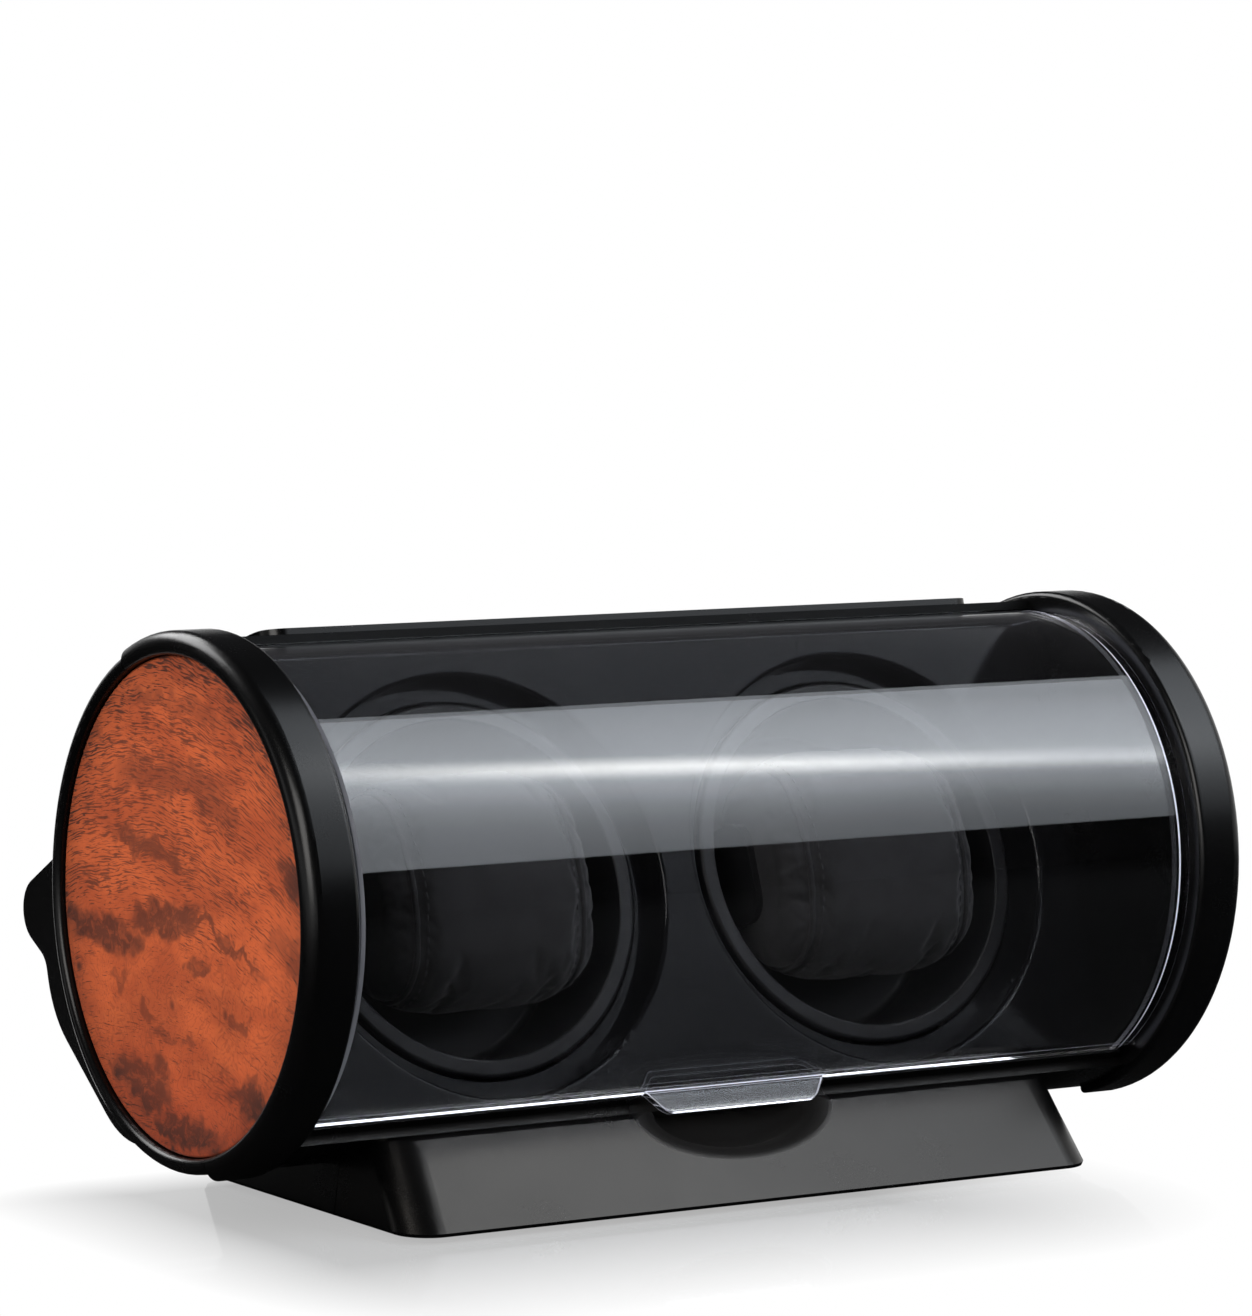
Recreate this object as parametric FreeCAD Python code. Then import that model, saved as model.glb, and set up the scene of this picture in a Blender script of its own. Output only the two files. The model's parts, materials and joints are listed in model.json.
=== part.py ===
import FreeCAD, Part
import math
import os

# Watch winder box: a horizontal cylinder on a low base. A clear lid rolls back over two turning cups.
# All sizes are in millimetres. Pieces are drawn about the cylinder's axis, which runs along X, with the
# front at -Y and up at +Z. Each piece is moved as it is saved, so that the box's own origin is on the
# table, under the middle of the box.

V = FreeCAD.Vector

# Housing: the cylinder, parted into a front frame and a rear shell
SHELL_R = 59.8            # outside of the rear shell
SHELL_WALL = 2.2
RING_STEP = 1.8           # the front half rings stand this much proud of the rear shell
RING_WIDTH = 12.8         # end ring, along the axis
RING_LIP = 1.4            # how far the ring's outer lip reaches in over the end plate
RING_CREST = 3.4          # rounding of a ring's outer end
RING_EDGE = 1.5           # rounding of a ring's other edges
PARTING_BEHIND = 5.2      # parting plane, behind the cylinder's axis
PARTING_GAP = 0.3
TILT = 20.0               # lean of the parting plane and of everything inside, in degrees

# Top beam and its raised strip; angles run up from the front, over the top
BEAM_FRONT = 98.0         # angle of the beam's front edge, in degrees
BEAM_DROP = 0.3           # the beam lies this much below the rear shell
STRIP_RISE = 1.5
STRIP_HALF = 98.0         # half length
STRIP_MARGIN = 0.8        # bare beam in front of the strip and behind it
STRIP_CORNER = 5.0

# Lid
LID_GAP = 0.4             # running clearance all round the lid
LID_WALL = 2.4
LID_BOTTOM = -53.3        # angle of the lower edge
LID_TOP = 102.0           # angle of the upper edge, under the beam
LID_STEP = 0.8            # the end flange lies this much below the lid's face
LID_EDGE_GAP = 1.9        # lid's face to the end ring
LID_ROLL = 118.0          # travel, in degrees
STOP_PLAY = 0.4           # play at each end of the travel, in degrees
TAB_ROOT = 25.5           # finger tab, half width at the lid
TAB_TIP = 20.5            # and at its outer edge
TAB_REACH = 4.6
TAB_THICK = 2.6
TAB_CORNER = 4.0
STOP_RIB = 2.0            # rib that stops the open lid, in degrees
STOP_REACH = 2.0          # how far that rib and the sill reach in front of the lid's edge

# Ends
END_PLATE = 10.0          # depth of an end plate
END_WEB = 3.0             # its middle web
END_RIM = 10.0            # its rim, seen from the end
SLOT_DEPTH = 4.2          # slot that the lid's end flange runs in
WOOD_THICK = 3.0
WOOD_INSET = 2.0          # wood face, below the crest of the ring
WOOD_GAP = 0.2
WOOD_EDGE = 0.6
SEAT_GAP = 0.1            # between fixed pieces that fit into each other

# Sill and base
SILL_TOP = -57.0          # angle where the tube's outside gives way to the sill's lip
LIP_LAP = 4.0             # the sill's lip starts this far below its top, in degrees
LEDGE = 1.8               # base front, ahead of the tube at the sill
BASE_CLEAR = 11.9         # underside of the shell to the table
BASE_HALF = 94.6          # half length at the table
BASE_TAPER = 2.3          # shorter by this at the top, each end
BASE_FLARE = 15.8         # the front runs out by this from the ledge to the table
BASE_REAR = 52.0          # rear edge, behind the axis
BASE_REAR_FLARE = 8.0
BASE_CORNER = 9.0
BASE_EDGE = 0.8           # edge break round the base's top and its lower edge
BASE_WALL = 2.4
SCOOP_HALF = 26.6         # finger recess: half width at the ledge
SCOOP_DROP = 12.6         # its lowest point, down the base's front
SCOOP_DEPTH = 7.0
SCOOP_RIM = 25.0          # slope of its rim against the base's front, in degrees
SCOOP_RIM_DEEP = 1.2      # depth where the rim gives way to the wall
SCOOP_WALL = 70.0         # slope of its wall, in degrees
SCOOP_RIM_R = 2.5         # rounding between rim and wall
SCOOP_FLOOR_R = 3.5       # rounding between wall and floor
SCOOP_ABOVE = 4.0         # the cutting shape starts this far outside the base's front
BOTTOM_INSET = 0.5        # base plate above the base's lower edge
BOTTOM_THICK = 2.2
FOOT_R = 6.0
FOOT_PROUD = 1.5          # below the base's lower edge
FOOT_SUNK = 0.8           # into the base plate
FOOT_INSET = 13.0         # from the base plate's edges
BOSS_INSET = 24.5         # screw bosses from the base's ends
BOSS_Y = 28.0
BOSS_R = 4.0
BOTTOM_GAP = 0.3          # base plate to the base's walls

# Ridge along the back
NOSE_REACH = 21.0         # behind the shell
NOSE_R = 7.7
NOSE_DROP = 9.8           # below the cylinder's axis
NOSE_START = 6.6          # where its upper slope leaves the shell, in degrees above the rear
TAIL_INSET = 4.0          # ends of the ridge, inside the crests of the rings
SKIRT_NECK = (12.6, -16.4)     # beyond the shell, and angle from the rear
SKIRT_KNEE = (13.9, -26.8)
SKIRT_HEEL = (6.1, -59.9)
SKIRT_TOE = (-0.4, -78.0)
NECK_R = 6.0
KNEE_R = 25.0

# Inner panel
PANEL_AHEAD = 10.2        # front face, ahead of the cylinder's axis
PANEL_THICK = 2.5
PANEL_MARGIN = 2.4        # below the openings
PANEL_END = 9.5           # opening to the panel's end
INSIDE_GAP = 0.4          # inner pieces to the lid's guide
OPENING_WEB = 9.6         # between the openings
OPENING_EDGE = 1.2
WELL_DEPTH = 6.5
WELL_WALL = 1.6
RAIL = 3.0                # rails on the end plates, behind the panel
RAIL_HALF = 40.0
POST_R = 3.5
POST_END = 7.0            # posts from the panel's ends

# Turning cups, drawn about their own axis
DRUM_DROP = 1.6           # cup axis, below the middle of the panel
CUP_GAP = 5.2             # opening to the rim of the cup
CUP_SUNK = 5.0            # rim, behind the panel's face
CUP_FLANGE = 1.8
CUP_DEPTH = 31.4
CUP_WALL = 2.0
CUP_DRAFT = 2.0           # narrower by this at the floor
CUP_CORNER = 4.0
RIM_GAP = 0.8             # rim to the panel's well floor
HUB_R = 7.0
HUB_LENGTH = 1.3
SHAFT_R = 3.0
RUNNING_GAP = 0.05
BUSH_WALL = 1.4
BUSH_FLANGE_R = 6.5
BUSH_FLANGE = 1.0
BUSH_PROUD = 1.5          # behind the carrier plate
CLIP_R = 5.2
CLIP_THICK = 0.8
CLIP_GAP = 0.3
SHAFT_END = 2.0           # behind the retaining ring
HOLDER_HALF = 29.5        # cushion holder
HOLDER_WIDE = 12.0
HOLDER_THICK = 2.2
HOLDER_TALL = 28.0
HOLDER_CORNER = 6.0
CUSHION_GAP = 0.3
CUSHION_HIGH = 28.0       # half height
CUSHION_DEEP = 19.0       # half depth
CUSHION_PROUD = 10.0      # ahead of the panel's face
CUSHION_END = 0.76        # end of the cushion against its middle
CUSHION_SHOULDER = 0.94
CUSHION_SHOULDER_AT = 0.7
CUSHION_FULL = 0.74       # corners of its section, against its half height and half depth

# Belt drive
PULLEY_GAP = 1.0          # pulley to the bush
PULLEY_WIDE = 6.0
PULLEY_R = 16.5
GROOVE = 2.5              # depth of a pulley's groove
GROOVE_WIDE = 3.6
BELT_WIDE = 3.0
BELT_THICK = 1.5
BELT_GAP = 0.3
MOTOR_PULLEY_R = 7.2
MOTOR_X = 18.0
MOTOR_SHAFT_R = 1.5
MOTOR_SHAFT_IN = 5.0
END_GAP = 0.3             # a shaft's end to the bottom of its hole
GEARBOX_R = 12.0
GEARBOX_LENGTH = 7.0
MOTOR_R = 10.0
MOTOR_LENGTH = 7.0
MOTOR_BOSS_R = 3.4
MOTOR_EAR = 15.0          # ear screws from the motor's axis
EAR_R = 3.4
EAR_THICK = 1.4

# Carrier plate
CARRIER_THICK = 2.5
CARRIER_MARGIN = 1.2
CARRIER_FLANGE = 10.0
CARRIER_FLANGE_HALF = 20.0
CARRIER_WINDOW = 9.0      # half height of the windows beside the bushes
CARRIER_WINDOW_NEAR = 20.0
CARRIER_WINDOW_FAR = 44.0

# Controls on the ridge's upper slope, and the inlet on its lower one
KNOB_X = 30.0
KNOB_R = 6.5
KNOB_TALL = 7.5
KNOB_GAP = 0.5
KNOB_POINTER = 1.0
STEM_R = 2.0
SWITCH_HALF = 5.0
SWITCH_DEEP = 7.0
SWITCH_NECK_R = 3.3
BOARD_HALF = 50.0
BOARD_THICK = 1.6
BOARD_INNER = 3.0         # from the knobs' row towards the shell
BOARD_OUTER = 9.0
INLET_X = 70.0
INLET_DOWN = 0.6          # share of the way from the skirt's neck to its knee
INLET_R = 4.0
INLET_FLANGE_R = 5.5
INLET_FLANGE = 0.8
INLET_DEEP = 10.0
INLET_BORE_R = 2.75
INLET_PIN_R = 1.0
INLET_FLOOR = 1.6

# Screws
SCREW_R = 1.4
SCREW_HEAD_R = 2.8
SCREW_HEAD = 1.6
SCREW_LENGTH = 9.0
SCREW_GAP = 0.1
SCREW_SOCKET = 0.8

# Sizes that follow from those above
BORE_R = SHELL_R - SHELL_WALL
RING_R = SHELL_R + RING_STEP
BEAM_R = SHELL_R - BEAM_DROP
BEAM_REAR = 90 + 2 * TILT  # drawn past the parting, and cut there
LID_R = BORE_R - LID_GAP
LID_IN_R = LID_R - LID_WALL
FLANGE_R = LID_R - LID_STEP
SLOT_R = FLANGE_R + LID_GAP
SHOULDER_R = LID_IN_R - LID_GAP
INSIDE_R = SHOULDER_R - INSIDE_GAP
WOOD_R = BORE_R - RING_LIP - WOOD_GAP
PANEL_HALF = math.sqrt(INSIDE_R ** 2 - PANEL_AHEAD ** 2)
OPENING_R = PANEL_HALF - DRUM_DROP - PANEL_MARGIN
DRUM_X = OPENING_R + OPENING_WEB / 2
END_FACE = DRUM_X + OPENING_R + PANEL_END
SLOT_END = END_FACE + SLOT_DEPTH
PLATE_OUT = END_FACE + END_PLATE
WOOD_FACE = PLATE_OUT + WOOD_THICK
HALF_LENGTH = WOOD_FACE + WOOD_INSET
RING_IN = HALF_LENGTH - RING_WIDTH
LID_HALF = RING_IN - LID_EDGE_GAP
LID_END = SLOT_END - LID_GAP
AXIS_HEIGHT = SHELL_R + BASE_CLEAR
BASE_LOW = FOOT_PROUD - AXIS_HEIGHT
BOSS_X = BASE_HALF - BOSS_INSET
LEDGE_Z = SHELL_R * math.sin(math.radians(SILL_TOP))
LEDGE_Y = -SHELL_R * math.cos(math.radians(SILL_TOP)) - LEDGE
PANEL_BACK = PANEL_AHEAD - PANEL_THICK
CUP_R = OPENING_R - CUP_GAP
CUP_FRONT = PANEL_AHEAD - CUP_SUNK
CUP_BACK = CUP_FRONT - CUP_DEPTH
CUP_FLOOR = CUP_BACK + CUP_WALL
PULLEY_FRONT = CUP_BACK - HUB_LENGTH
PULLEY_BACK = PULLEY_FRONT - PULLEY_WIDE
PULLEY_MID = (PULLEY_FRONT + PULLEY_BACK) / 2
CARRIER_FRONT = PULLEY_BACK - PULLEY_GAP - BUSH_FLANGE
CARRIER_BACK = CARRIER_FRONT - CARRIER_THICK
CARRIER_HALF = math.sqrt(INSIDE_R ** 2 - CARRIER_BACK ** 2) - CARRIER_MARGIN
CLIP_FRONT = CARRIER_BACK - BUSH_PROUD - CLIP_GAP
SHAFT_BACK = CLIP_FRONT - CLIP_THICK - SHAFT_END
BUSH_R = SHAFT_R + RUNNING_GAP + BUSH_WALL
INNER_END = END_FACE - SEAT_GAP
CUSHION_HALF = HOLDER_HALF - HOLDER_THICK - CUSHION_GAP
REAR_REACH = SHELL_R + NOSE_REACH
SHIFT = V(0, (RING_R - REAR_REACH) / 2, AXIS_HEIGHT)
SIDES = (("left", -1), ("right", 1))
FAR = 400.0


def edges_through(corners, place, closed=True):
    """Edges through corners (a, b, radius), with an arc at every corner that has a radius."""
    points = [V(a, b, 0) for a, b, radius in corners]
    count = len(points)
    bends = []
    for index, here in enumerate(points):
        radius = corners[index][2]
        if not radius:
            bends.append((here, None, here))
            continue
        back = (points[index - 1] - here).normalize()
        ahead = (points[(index + 1) % count] - here).normalize()
        half = back.getAngle(ahead) / 2
        run = radius / math.tan(half)
        inward = (back + ahead).normalize()
        top = here + inward * (radius / math.sin(half) - radius)
        bends.append((here + back * run, top, here + ahead * run))
    edges = []
    for index, (start, top, end) in enumerate(bends):
        if top is not None:
            edges.append(Part.Arc(place(start), place(top), place(end)).toShape())
        if closed or index < count - 1:
            following = bends[(index + 1) % count][0]
            if (following - end).Length > 1e-6:
                edges.append(Part.makeLine(place(end), place(following)))
    return edges


def side_on(point):
    """A drawing seen along the cylinder's axis: (y, z)."""
    return V(0, point.x, point.y)


def upright(point):
    """A drawing on the plane through X and Z: (x, z)."""
    return V(point.x, 0, point.y)


def prism(corners, x1, x2):
    """Side-on outline, drawn out along the axis."""
    shape = Part.Face(Part.Wire(edges_through(corners, side_on))).extrude(V(x2 - x1, 0, 0))
    shape.translate(V(x1, 0, 0))
    return shape


def plate(corners, z1, z2):
    """Outline (x, y), drawn up from z1 to z2."""
    wire = Part.Wire(edges_through(corners, lambda point: V(point.x, point.y, z1)))
    return Part.Face(wire).extrude(V(0, 0, z2 - z1))


def turned(corners, axis):
    """Profile (x, r) turned about X, or (r, z) about Z."""
    return Part.Face(Part.Wire(edges_through(corners, upright))).revolve(V(), axis, 360)


def turned_x(corners):
    return turned(corners, V(1, 0, 0))


def turned_z(corners):
    return turned(corners, V(0, 0, 1))


def rod_x(radius, x1, x2):
    return Part.makeCylinder(radius, x2 - x1, V(x1, 0, 0), V(1, 0, 0))


def rod_z(radius, z1, z2, x=0, y=0):
    return Part.makeCylinder(radius, z2 - z1, V(x, y, z1))


def block(x1, x2, y1, y2, z1, z2):
    return Part.makeBox(x2 - x1, y2 - y1, z2 - z1, V(x1, y1, z1))


def box_corners(x1, x2, y1, y2, radius):
    return [(x1, y1, radius), (x2, y1, radius), (x2, y2, radius), (x1, y2, radius)]


def from_front(radius, angle):
    """Point on the plane of X = 0, at an angle up from the front."""
    turn = math.radians(angle)
    return V(0, -radius * math.cos(turn), radius * math.sin(turn))


def from_rear(radius, angle):
    """(y, z) at an angle up from the rear."""
    turn = math.radians(angle)
    return radius * math.cos(turn), radius * math.sin(turn)


def sector(r1, r2, a1, a2, x1, x2):
    """Piece of a tube about the cylinder's axis, between two angles."""
    middle = (a1 + a2) / 2
    edges = [Part.Arc(*[from_front(r2, angle) for angle in (a1, middle, a2)]).toShape(),
             Part.makeLine(from_front(r2, a2), from_front(r1, a2)),
             Part.Arc(*[from_front(r1, angle) for angle in (a2, middle, a1)]).toShape(),
             Part.makeLine(from_front(r1, a1), from_front(r2, a1))]
    shape = Part.Face(Part.Wire(edges)).extrude(V(x2 - x1, 0, 0))
    shape.translate(V(x1, 0, 0))
    return shape


def both_ends(shape):
    """The right-hand piece and its mirror image."""
    return [shape, shape.mirror(V(), V(1, 0, 0))]


def union(shapes):
    return shapes[0].fuse(shapes[1:]).removeSplitter()


def leaned(shape):
    """Moves a piece drawn flat, facing +Z, to lean back inside the cylinder."""
    return shape.rotated(V(), V(1, 0, 0), 90 - TILT)


def on_drum(shape, side):
    """Moves a piece drawn about the Z axis to a cup's axis, and leans it."""
    return leaned(shape.translated(V(side * DRUM_X, -DRUM_DROP, 0)))


def on_motor(shape, side):
    return leaned(shape.translated(V(side * MOTOR_X, -DRUM_DROP, 0)))


def save(name, shape):
    moved = shape.translated(SHIFT)
    assert moved.isValid() and moved.Solids, name
    moved.exportStep("parts/%s.step" % name)


def parted(front):
    """The space that one half of the housing may fill, on its side of the parting."""
    lean = math.radians(TILT)
    sign = 1 if front else -1
    offset = sign * PARTING_GAP / 2 - PARTING_BEHIND
    fold = -SHELL_R
    seam = []
    for run in (FAR, fold):
        y = -offset * math.cos(lean) + run * math.sin(lean)
        z = offset * math.sin(lean) + run * math.cos(lean)
        seam.append((y, z, 0))
    outer = -sign * FAR
    return prism(seam + [(seam[1][0], -FAR, 0), (outer, -FAR, 0), (outer, FAR, 0)], -FAR, FAR)


def end_rings(outer):
    """Both end rings, all the way round, with the lid's slot inside and a lip over the wood."""
    lip = WOOD_R + WOOD_GAP
    crest = min(RING_CREST, outer - lip - RING_EDGE - SEAT_GAP)
    profile = [(RING_IN, SLOT_R, 0), (SLOT_END, SLOT_R, 0), (SLOT_END, BORE_R, 0), (PLATE_OUT, BORE_R, 0),
               (PLATE_OUT, lip, 0), (HALF_LENGTH, lip, RING_EDGE), (HALF_LENGTH, outer, crest),
               (RING_IN, outer, RING_EDGE)]
    return both_ends(turned_x(profile))


def base_plan(height, inset):
    """Corners of the base at a height above its lower edge, drawn in by an inset."""
    share = height / (LEDGE_Z - BASE_LOW)
    half = BASE_HALF - BASE_TAPER * share - inset
    front = LEDGE_Y - BASE_FLARE * (1 - share) + inset
    rear = BASE_REAR - BASE_REAR_FLARE * share - inset
    return box_corners(-half, half, front, rear, BASE_CORNER - inset)


def base_block(sections):
    """Solid through the base's plans, each given by its height and its inset."""
    wires = [Part.Wire(edges_through(base_plan(height, inset), lambda p, z=BASE_LOW + height: V(p.x, p.y, z)))
             for height, inset in sections]
    return Part.makeLoft(wires, True, True)


def scoop(grow):
    """Finger recess in the base's front: a turned dish, drawn out sideways, or its outside."""
    slope = V(0, BASE_FLARE, LEDGE_Z - BASE_LOW).normalize()
    outward = V(0, -slope.z, slope.y)
    rim = SCOOP_DROP + grow
    rim_run = 1 / math.tan(math.radians(SCOOP_RIM))
    wall_top = rim - SCOOP_RIM_DEEP * rim_run
    floor = wall_top - (SCOOP_DEPTH - SCOOP_RIM_DEEP) / math.tan(math.radians(SCOOP_WALL))
    deep = SCOOP_DEPTH + grow
    profile = [(0, -deep, 0), (floor, -deep, SCOOP_FLOOR_R), (wall_top, -SCOOP_RIM_DEEP - grow, SCOOP_RIM_R),
               (rim + SCOOP_ABOVE * rim_run, SCOOP_ABOVE - grow, 0), (0, SCOOP_ABOVE - grow, 0)]
    quarter = Part.Face(Part.Wire(edges_through(profile, upright))).revolve(V(), V(0, 0, 1), 90)
    wide = SCOOP_HALF / SCOOP_DROP
    place = FreeCAD.Matrix(wide, 0, 0, 0,
                           0, slope.y, outward.y, LEDGE_Y,
                           0, slope.z, outward.z, LEDGE_Z,
                           0, 0, 0, 1)
    quarters = [quarter.rotated(V(), V(0, 0, 1), turn).transformGeometry(place) for turn in (0, 90, 180, 270)]
    return quarters[0].fuse(quarters[1:]).cut(rod_x(SHELL_R, -FAR, FAR))


def boss_spots():
    return [(x, y) for x in (-BOSS_X, BOSS_X) for y in (-BOSS_Y, BOSS_Y)]


def base_shell():
    """The base's walls, front to rear, open below; the cylinder's underside is its roof."""
    height = LEDGE_Z - BASE_LOW
    cylinder = rod_x(BORE_R + SHELL_WALL / 2, -FAR, FAR)
    roof = rod_x(SHELL_R, -FAR, FAR)
    inside = base_block([(-SEAT_GAP, BASE_WALL), (height - BASE_WALL, BASE_WALL)])
    hollow = inside.cut(roof).cut(scoop(BASE_WALL))
    top = -math.sqrt((BORE_R + SHELL_WALL / 2) ** 2 - BOSS_Y ** 2)
    low = BASE_LOW + BOTTOM_INSET
    bosses = [rod_z(BOSS_R, low + BOTTOM_THICK, top, *spot) for spot in boss_spots()]
    deep = low + SCREW_HEAD + SCREW_LENGTH + END_GAP
    holes = [rod_z(SCREW_R + SCREW_GAP, -AXIS_HEIGHT, deep, *spot) for spot in boss_spots()]
    outside = base_block([(0, BASE_EDGE), (BASE_EDGE, 0), (height - BASE_EDGE, 0), (height, BASE_EDGE)])
    walls = outside.cut(cylinder).cut(hollow).cut(scoop(0))
    return union([walls] + bosses).cut(holes)


def front_frame():
    beam = sector(BORE_R, BEAM_R, BEAM_FRONT, BEAM_REAR, -RING_IN - RING_EDGE, RING_IN + RING_EDGE)
    sill = sector(BORE_R, SHELL_R, -90, SILL_TOP, -RING_IN - RING_EDGE, RING_IN + RING_EDGE)
    lip = sector(LID_IN_R, BORE_R + SHELL_WALL / 2, SILL_TOP - LIP_LAP, LID_BOTTOM - STOP_PLAY,
                 -INNER_END, INNER_END)
    lip = lip.cut(sector(BORE_R, SHELL_R, SILL_TOP, 0, -FAR, FAR))
    return union(end_rings(RING_R) + [beam, sill, lip, base_shell()]).common(parted(True))


def top_strip():
    """Raised strip on the beam, cut to a plan with rounded corners."""
    parting = 90 + TILT + math.degrees(math.asin(PARTING_BEHIND / SHELL_R))
    margin = math.degrees(STRIP_MARGIN / BEAM_R)
    first = BEAM_FRONT + margin
    last = parting - margin
    reach = BEAM_R * math.radians(last - first) / 2
    band = sector(BEAM_R + SEAT_GAP / 2, BEAM_R + STRIP_RISE, BEAM_FRONT, BEAM_REAR, -FAR, FAR)
    plan = plate(box_corners(-STRIP_HALF, STRIP_HALF, -reach, reach, STRIP_CORNER), 0, FAR)
    plan.rotate(V(), V(1, 0, 0), 90 - (first + last) / 2)
    return band.common(plan)


def nose_touch(point, sign):
    """Where a line from a point (y, z) touches the ridge's nose, and the angle of that touch."""
    centre = V(REAR_REACH - NOSE_R, -NOSE_DROP, 0)
    away = V(*point, 0) - centre
    swing = math.atan2(away.y, away.x) + sign * math.acos(NOSE_R / away.Length)
    return centre + V(math.cos(swing), math.sin(swing), 0) * NOSE_R, swing


def tail_path(corners):
    """The ridge's outline: upper slope, nose, and then the given corners of the skirt."""
    start = from_rear(SHELL_R, NOSE_START)
    upper, swing = nose_touch(start, -1)
    lower, swing = nose_touch(corners[0][:2], 1)
    nose = Part.Arc(side_on(upper), V(0, REAR_REACH, -NOSE_DROP), side_on(lower)).toShape()
    rest = edges_through([(lower.x, lower.y, 0)] + corners + [(*start, 0)], side_on, False)
    return Part.Wire([Part.makeLine(V(0, *start), side_on(upper)), nose] + rest)


def skirt_points():
    return [from_rear(SHELL_R + out, angle) for out, angle in (SKIRT_NECK, SKIRT_KNEE, SKIRT_HEEL, SKIRT_TOE)]


def tail_solid():
    neck, knee, heel, toe = skirt_points()
    wire = tail_path([(*neck, NECK_R), (*knee, KNEE_R), (*heel, KNEE_R), (*toe, 0), (0, 0, 0)])
    half = HALF_LENGTH - TAIL_INSET
    shape = Part.Face(wire).extrude(V(2 * half, 0, 0))
    return shape.translated(V(-half, 0, 0))


def tail_hollow():
    """Room for the controls inside the ridge, open to the cylinder."""
    neck, knee = skirt_points()[:2]
    wire = tail_path([(*neck, NECK_R), (*knee, 0), (0, 0, 0)]).makeOffset2D(-SHELL_WALL)
    half = INNER_END
    shape = Part.Face(wire).extrude(V(2 * half, 0, 0))
    return shape.translated(V(-half, 0, 0))


def slope_frame(shape, x):
    """Moves a piece drawn about +Z to stand on the ridge's upper slope, its foot on the outer face."""
    start = from_rear(SHELL_R, NOSE_START)
    touch, swing = nose_touch(start, -1)
    middle = (V(0, *start) + side_on(touch)) * 0.5
    return shape.rotated(V(), V(1, 0, 0), math.degrees(swing) - 90).translated(middle + V(x, 0, 0))


def skirt_frame(shape, x):
    """Moves a piece drawn about +Z to stand on the ridge's lower slope, its foot on the outer face."""
    neck, knee = [V(0, *point) for point in skirt_points()[:2]]
    run = knee - neck
    out = math.degrees(math.atan2(-run.y, run.z))
    return shape.rotated(V(), V(1, 0, 0), out + 90).translated(neck + run * INLET_DOWN + V(x, 0, 0))


def rear_shell():
    tube = rod_x(SHELL_R, -RING_IN - RING_EDGE, RING_IN + RING_EDGE)
    body = union([tube, tail_solid()]).cut([rod_x(BORE_R, -PLATE_OUT, PLATE_OUT), tail_hollow()])
    body = body.cut(rod_x(WOOD_R + WOOD_GAP, -FAR, FAR))
    first = LID_TOP + LID_ROLL + STOP_PLAY
    rib = sector(BORE_R - STOP_REACH, BORE_R + SHELL_WALL / 2, first, first + STOP_RIB, -INNER_END, INNER_END)
    shape = union([body] + end_rings(SHELL_R) + [rib, base_shell().cut(tail_solid())])
    neck = rod_z(SWITCH_NECK_R + SEAT_GAP, -2 * SHELL_WALL, SHELL_WALL)
    necks = [slope_frame(neck, x) for x in (-KNOB_X, KNOB_X)]
    inlet = skirt_frame(rod_z(INLET_R + SEAT_GAP, -INLET_DEEP - SEAT_GAP, SHELL_WALL), INLET_X)
    return shape.cut(necks + [inlet]).common(parted(False))


def clear_lid():
    angles = (LID_BOTTOM, LID_TOP)
    pieces = [sector(LID_IN_R, LID_R, *angles, -LID_HALF, LID_HALF)]
    pieces += both_ends(sector(LID_IN_R, FLANGE_R, *angles, LID_HALF, LID_END))
    root = LID_R - LID_WALL / 2
    tip = LID_R + TAB_REACH
    corners = [(-TAB_ROOT, root, 0), (TAB_ROOT, root, 0),
               (TAB_TIP, tip, TAB_CORNER), (-TAB_TIP, tip, TAB_CORNER)]
    tab = plate(corners, -TAB_THICK, 0)
    tab = tab.rotated(V(), V(1, 0, 0), 180 - LID_BOTTOM)
    return union(pieces + [tab])


def end_plate():
    """Right-hand end plate, with rails for the inner panel."""
    rim = BORE_R - SEAT_GAP
    profile = [(END_FACE, 0, 0), (END_FACE, SHOULDER_R, 0), (SLOT_END, SHOULDER_R, 0), (SLOT_END, rim, 0),
               (PLATE_OUT - SEAT_GAP, rim, 0), (PLATE_OUT - SEAT_GAP, rim - END_RIM, 0),
               (END_FACE + END_WEB, rim - END_RIM - END_WEB, 0), (END_FACE + END_WEB, 0, 0)]
    rail = leaned(block(END_FACE - RAIL, END_FACE, -RAIL_HALF, RAIL_HALF, PANEL_BACK - RAIL, PANEL_BACK))
    shelf = CARRIER_FRONT + CARRIER_FLANGE / 2
    holes = [leaned(rod_x(SCREW_R + SCREW_GAP, END_FACE - RAIL, PLATE_OUT).translated(V(0, y, shelf)))
             for y in (-CARRIER_FLANGE_HALF / 2, CARRIER_FLANGE_HALF / 2)]
    return union([turned_x(profile), rail]).cut(holes)


def wood_disc():
    return turned_x([(PLATE_OUT, 0, 0), (PLATE_OUT, WOOD_R, 0),
                     (WOOD_FACE, WOOD_R, WOOD_EDGE), (WOOD_FACE, 0, 0)])


def base_plate():
    low = BASE_LOW + BOTTOM_INSET
    outline = base_plan(BOTTOM_INSET + BOTTOM_THICK, BASE_WALL + BOTTOM_GAP)
    shape = plate(outline, low, low + BOTTOM_THICK)
    cuts = [rod_z(FOOT_R + SEAT_GAP, low - FAR, low + FOOT_SUNK, *spot) for spot in foot_spots()]
    cuts += [rod_z(SCREW_R + SCREW_GAP, low, low + BOTTOM_THICK, x, y) for x, y in boss_spots()]
    cuts += [rod_z(SCREW_HEAD_R + SCREW_GAP, low, low + SCREW_HEAD, x, y) for x, y in boss_spots()]
    return shape.cut(cuts)


def foot_spots():
    outline = base_plan(BOTTOM_INSET + BOTTOM_THICK, BASE_WALL)
    return [(x - math.copysign(FOOT_INSET, x), y - math.copysign(FOOT_INSET, y)) for x, y, corner in outline]


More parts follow.
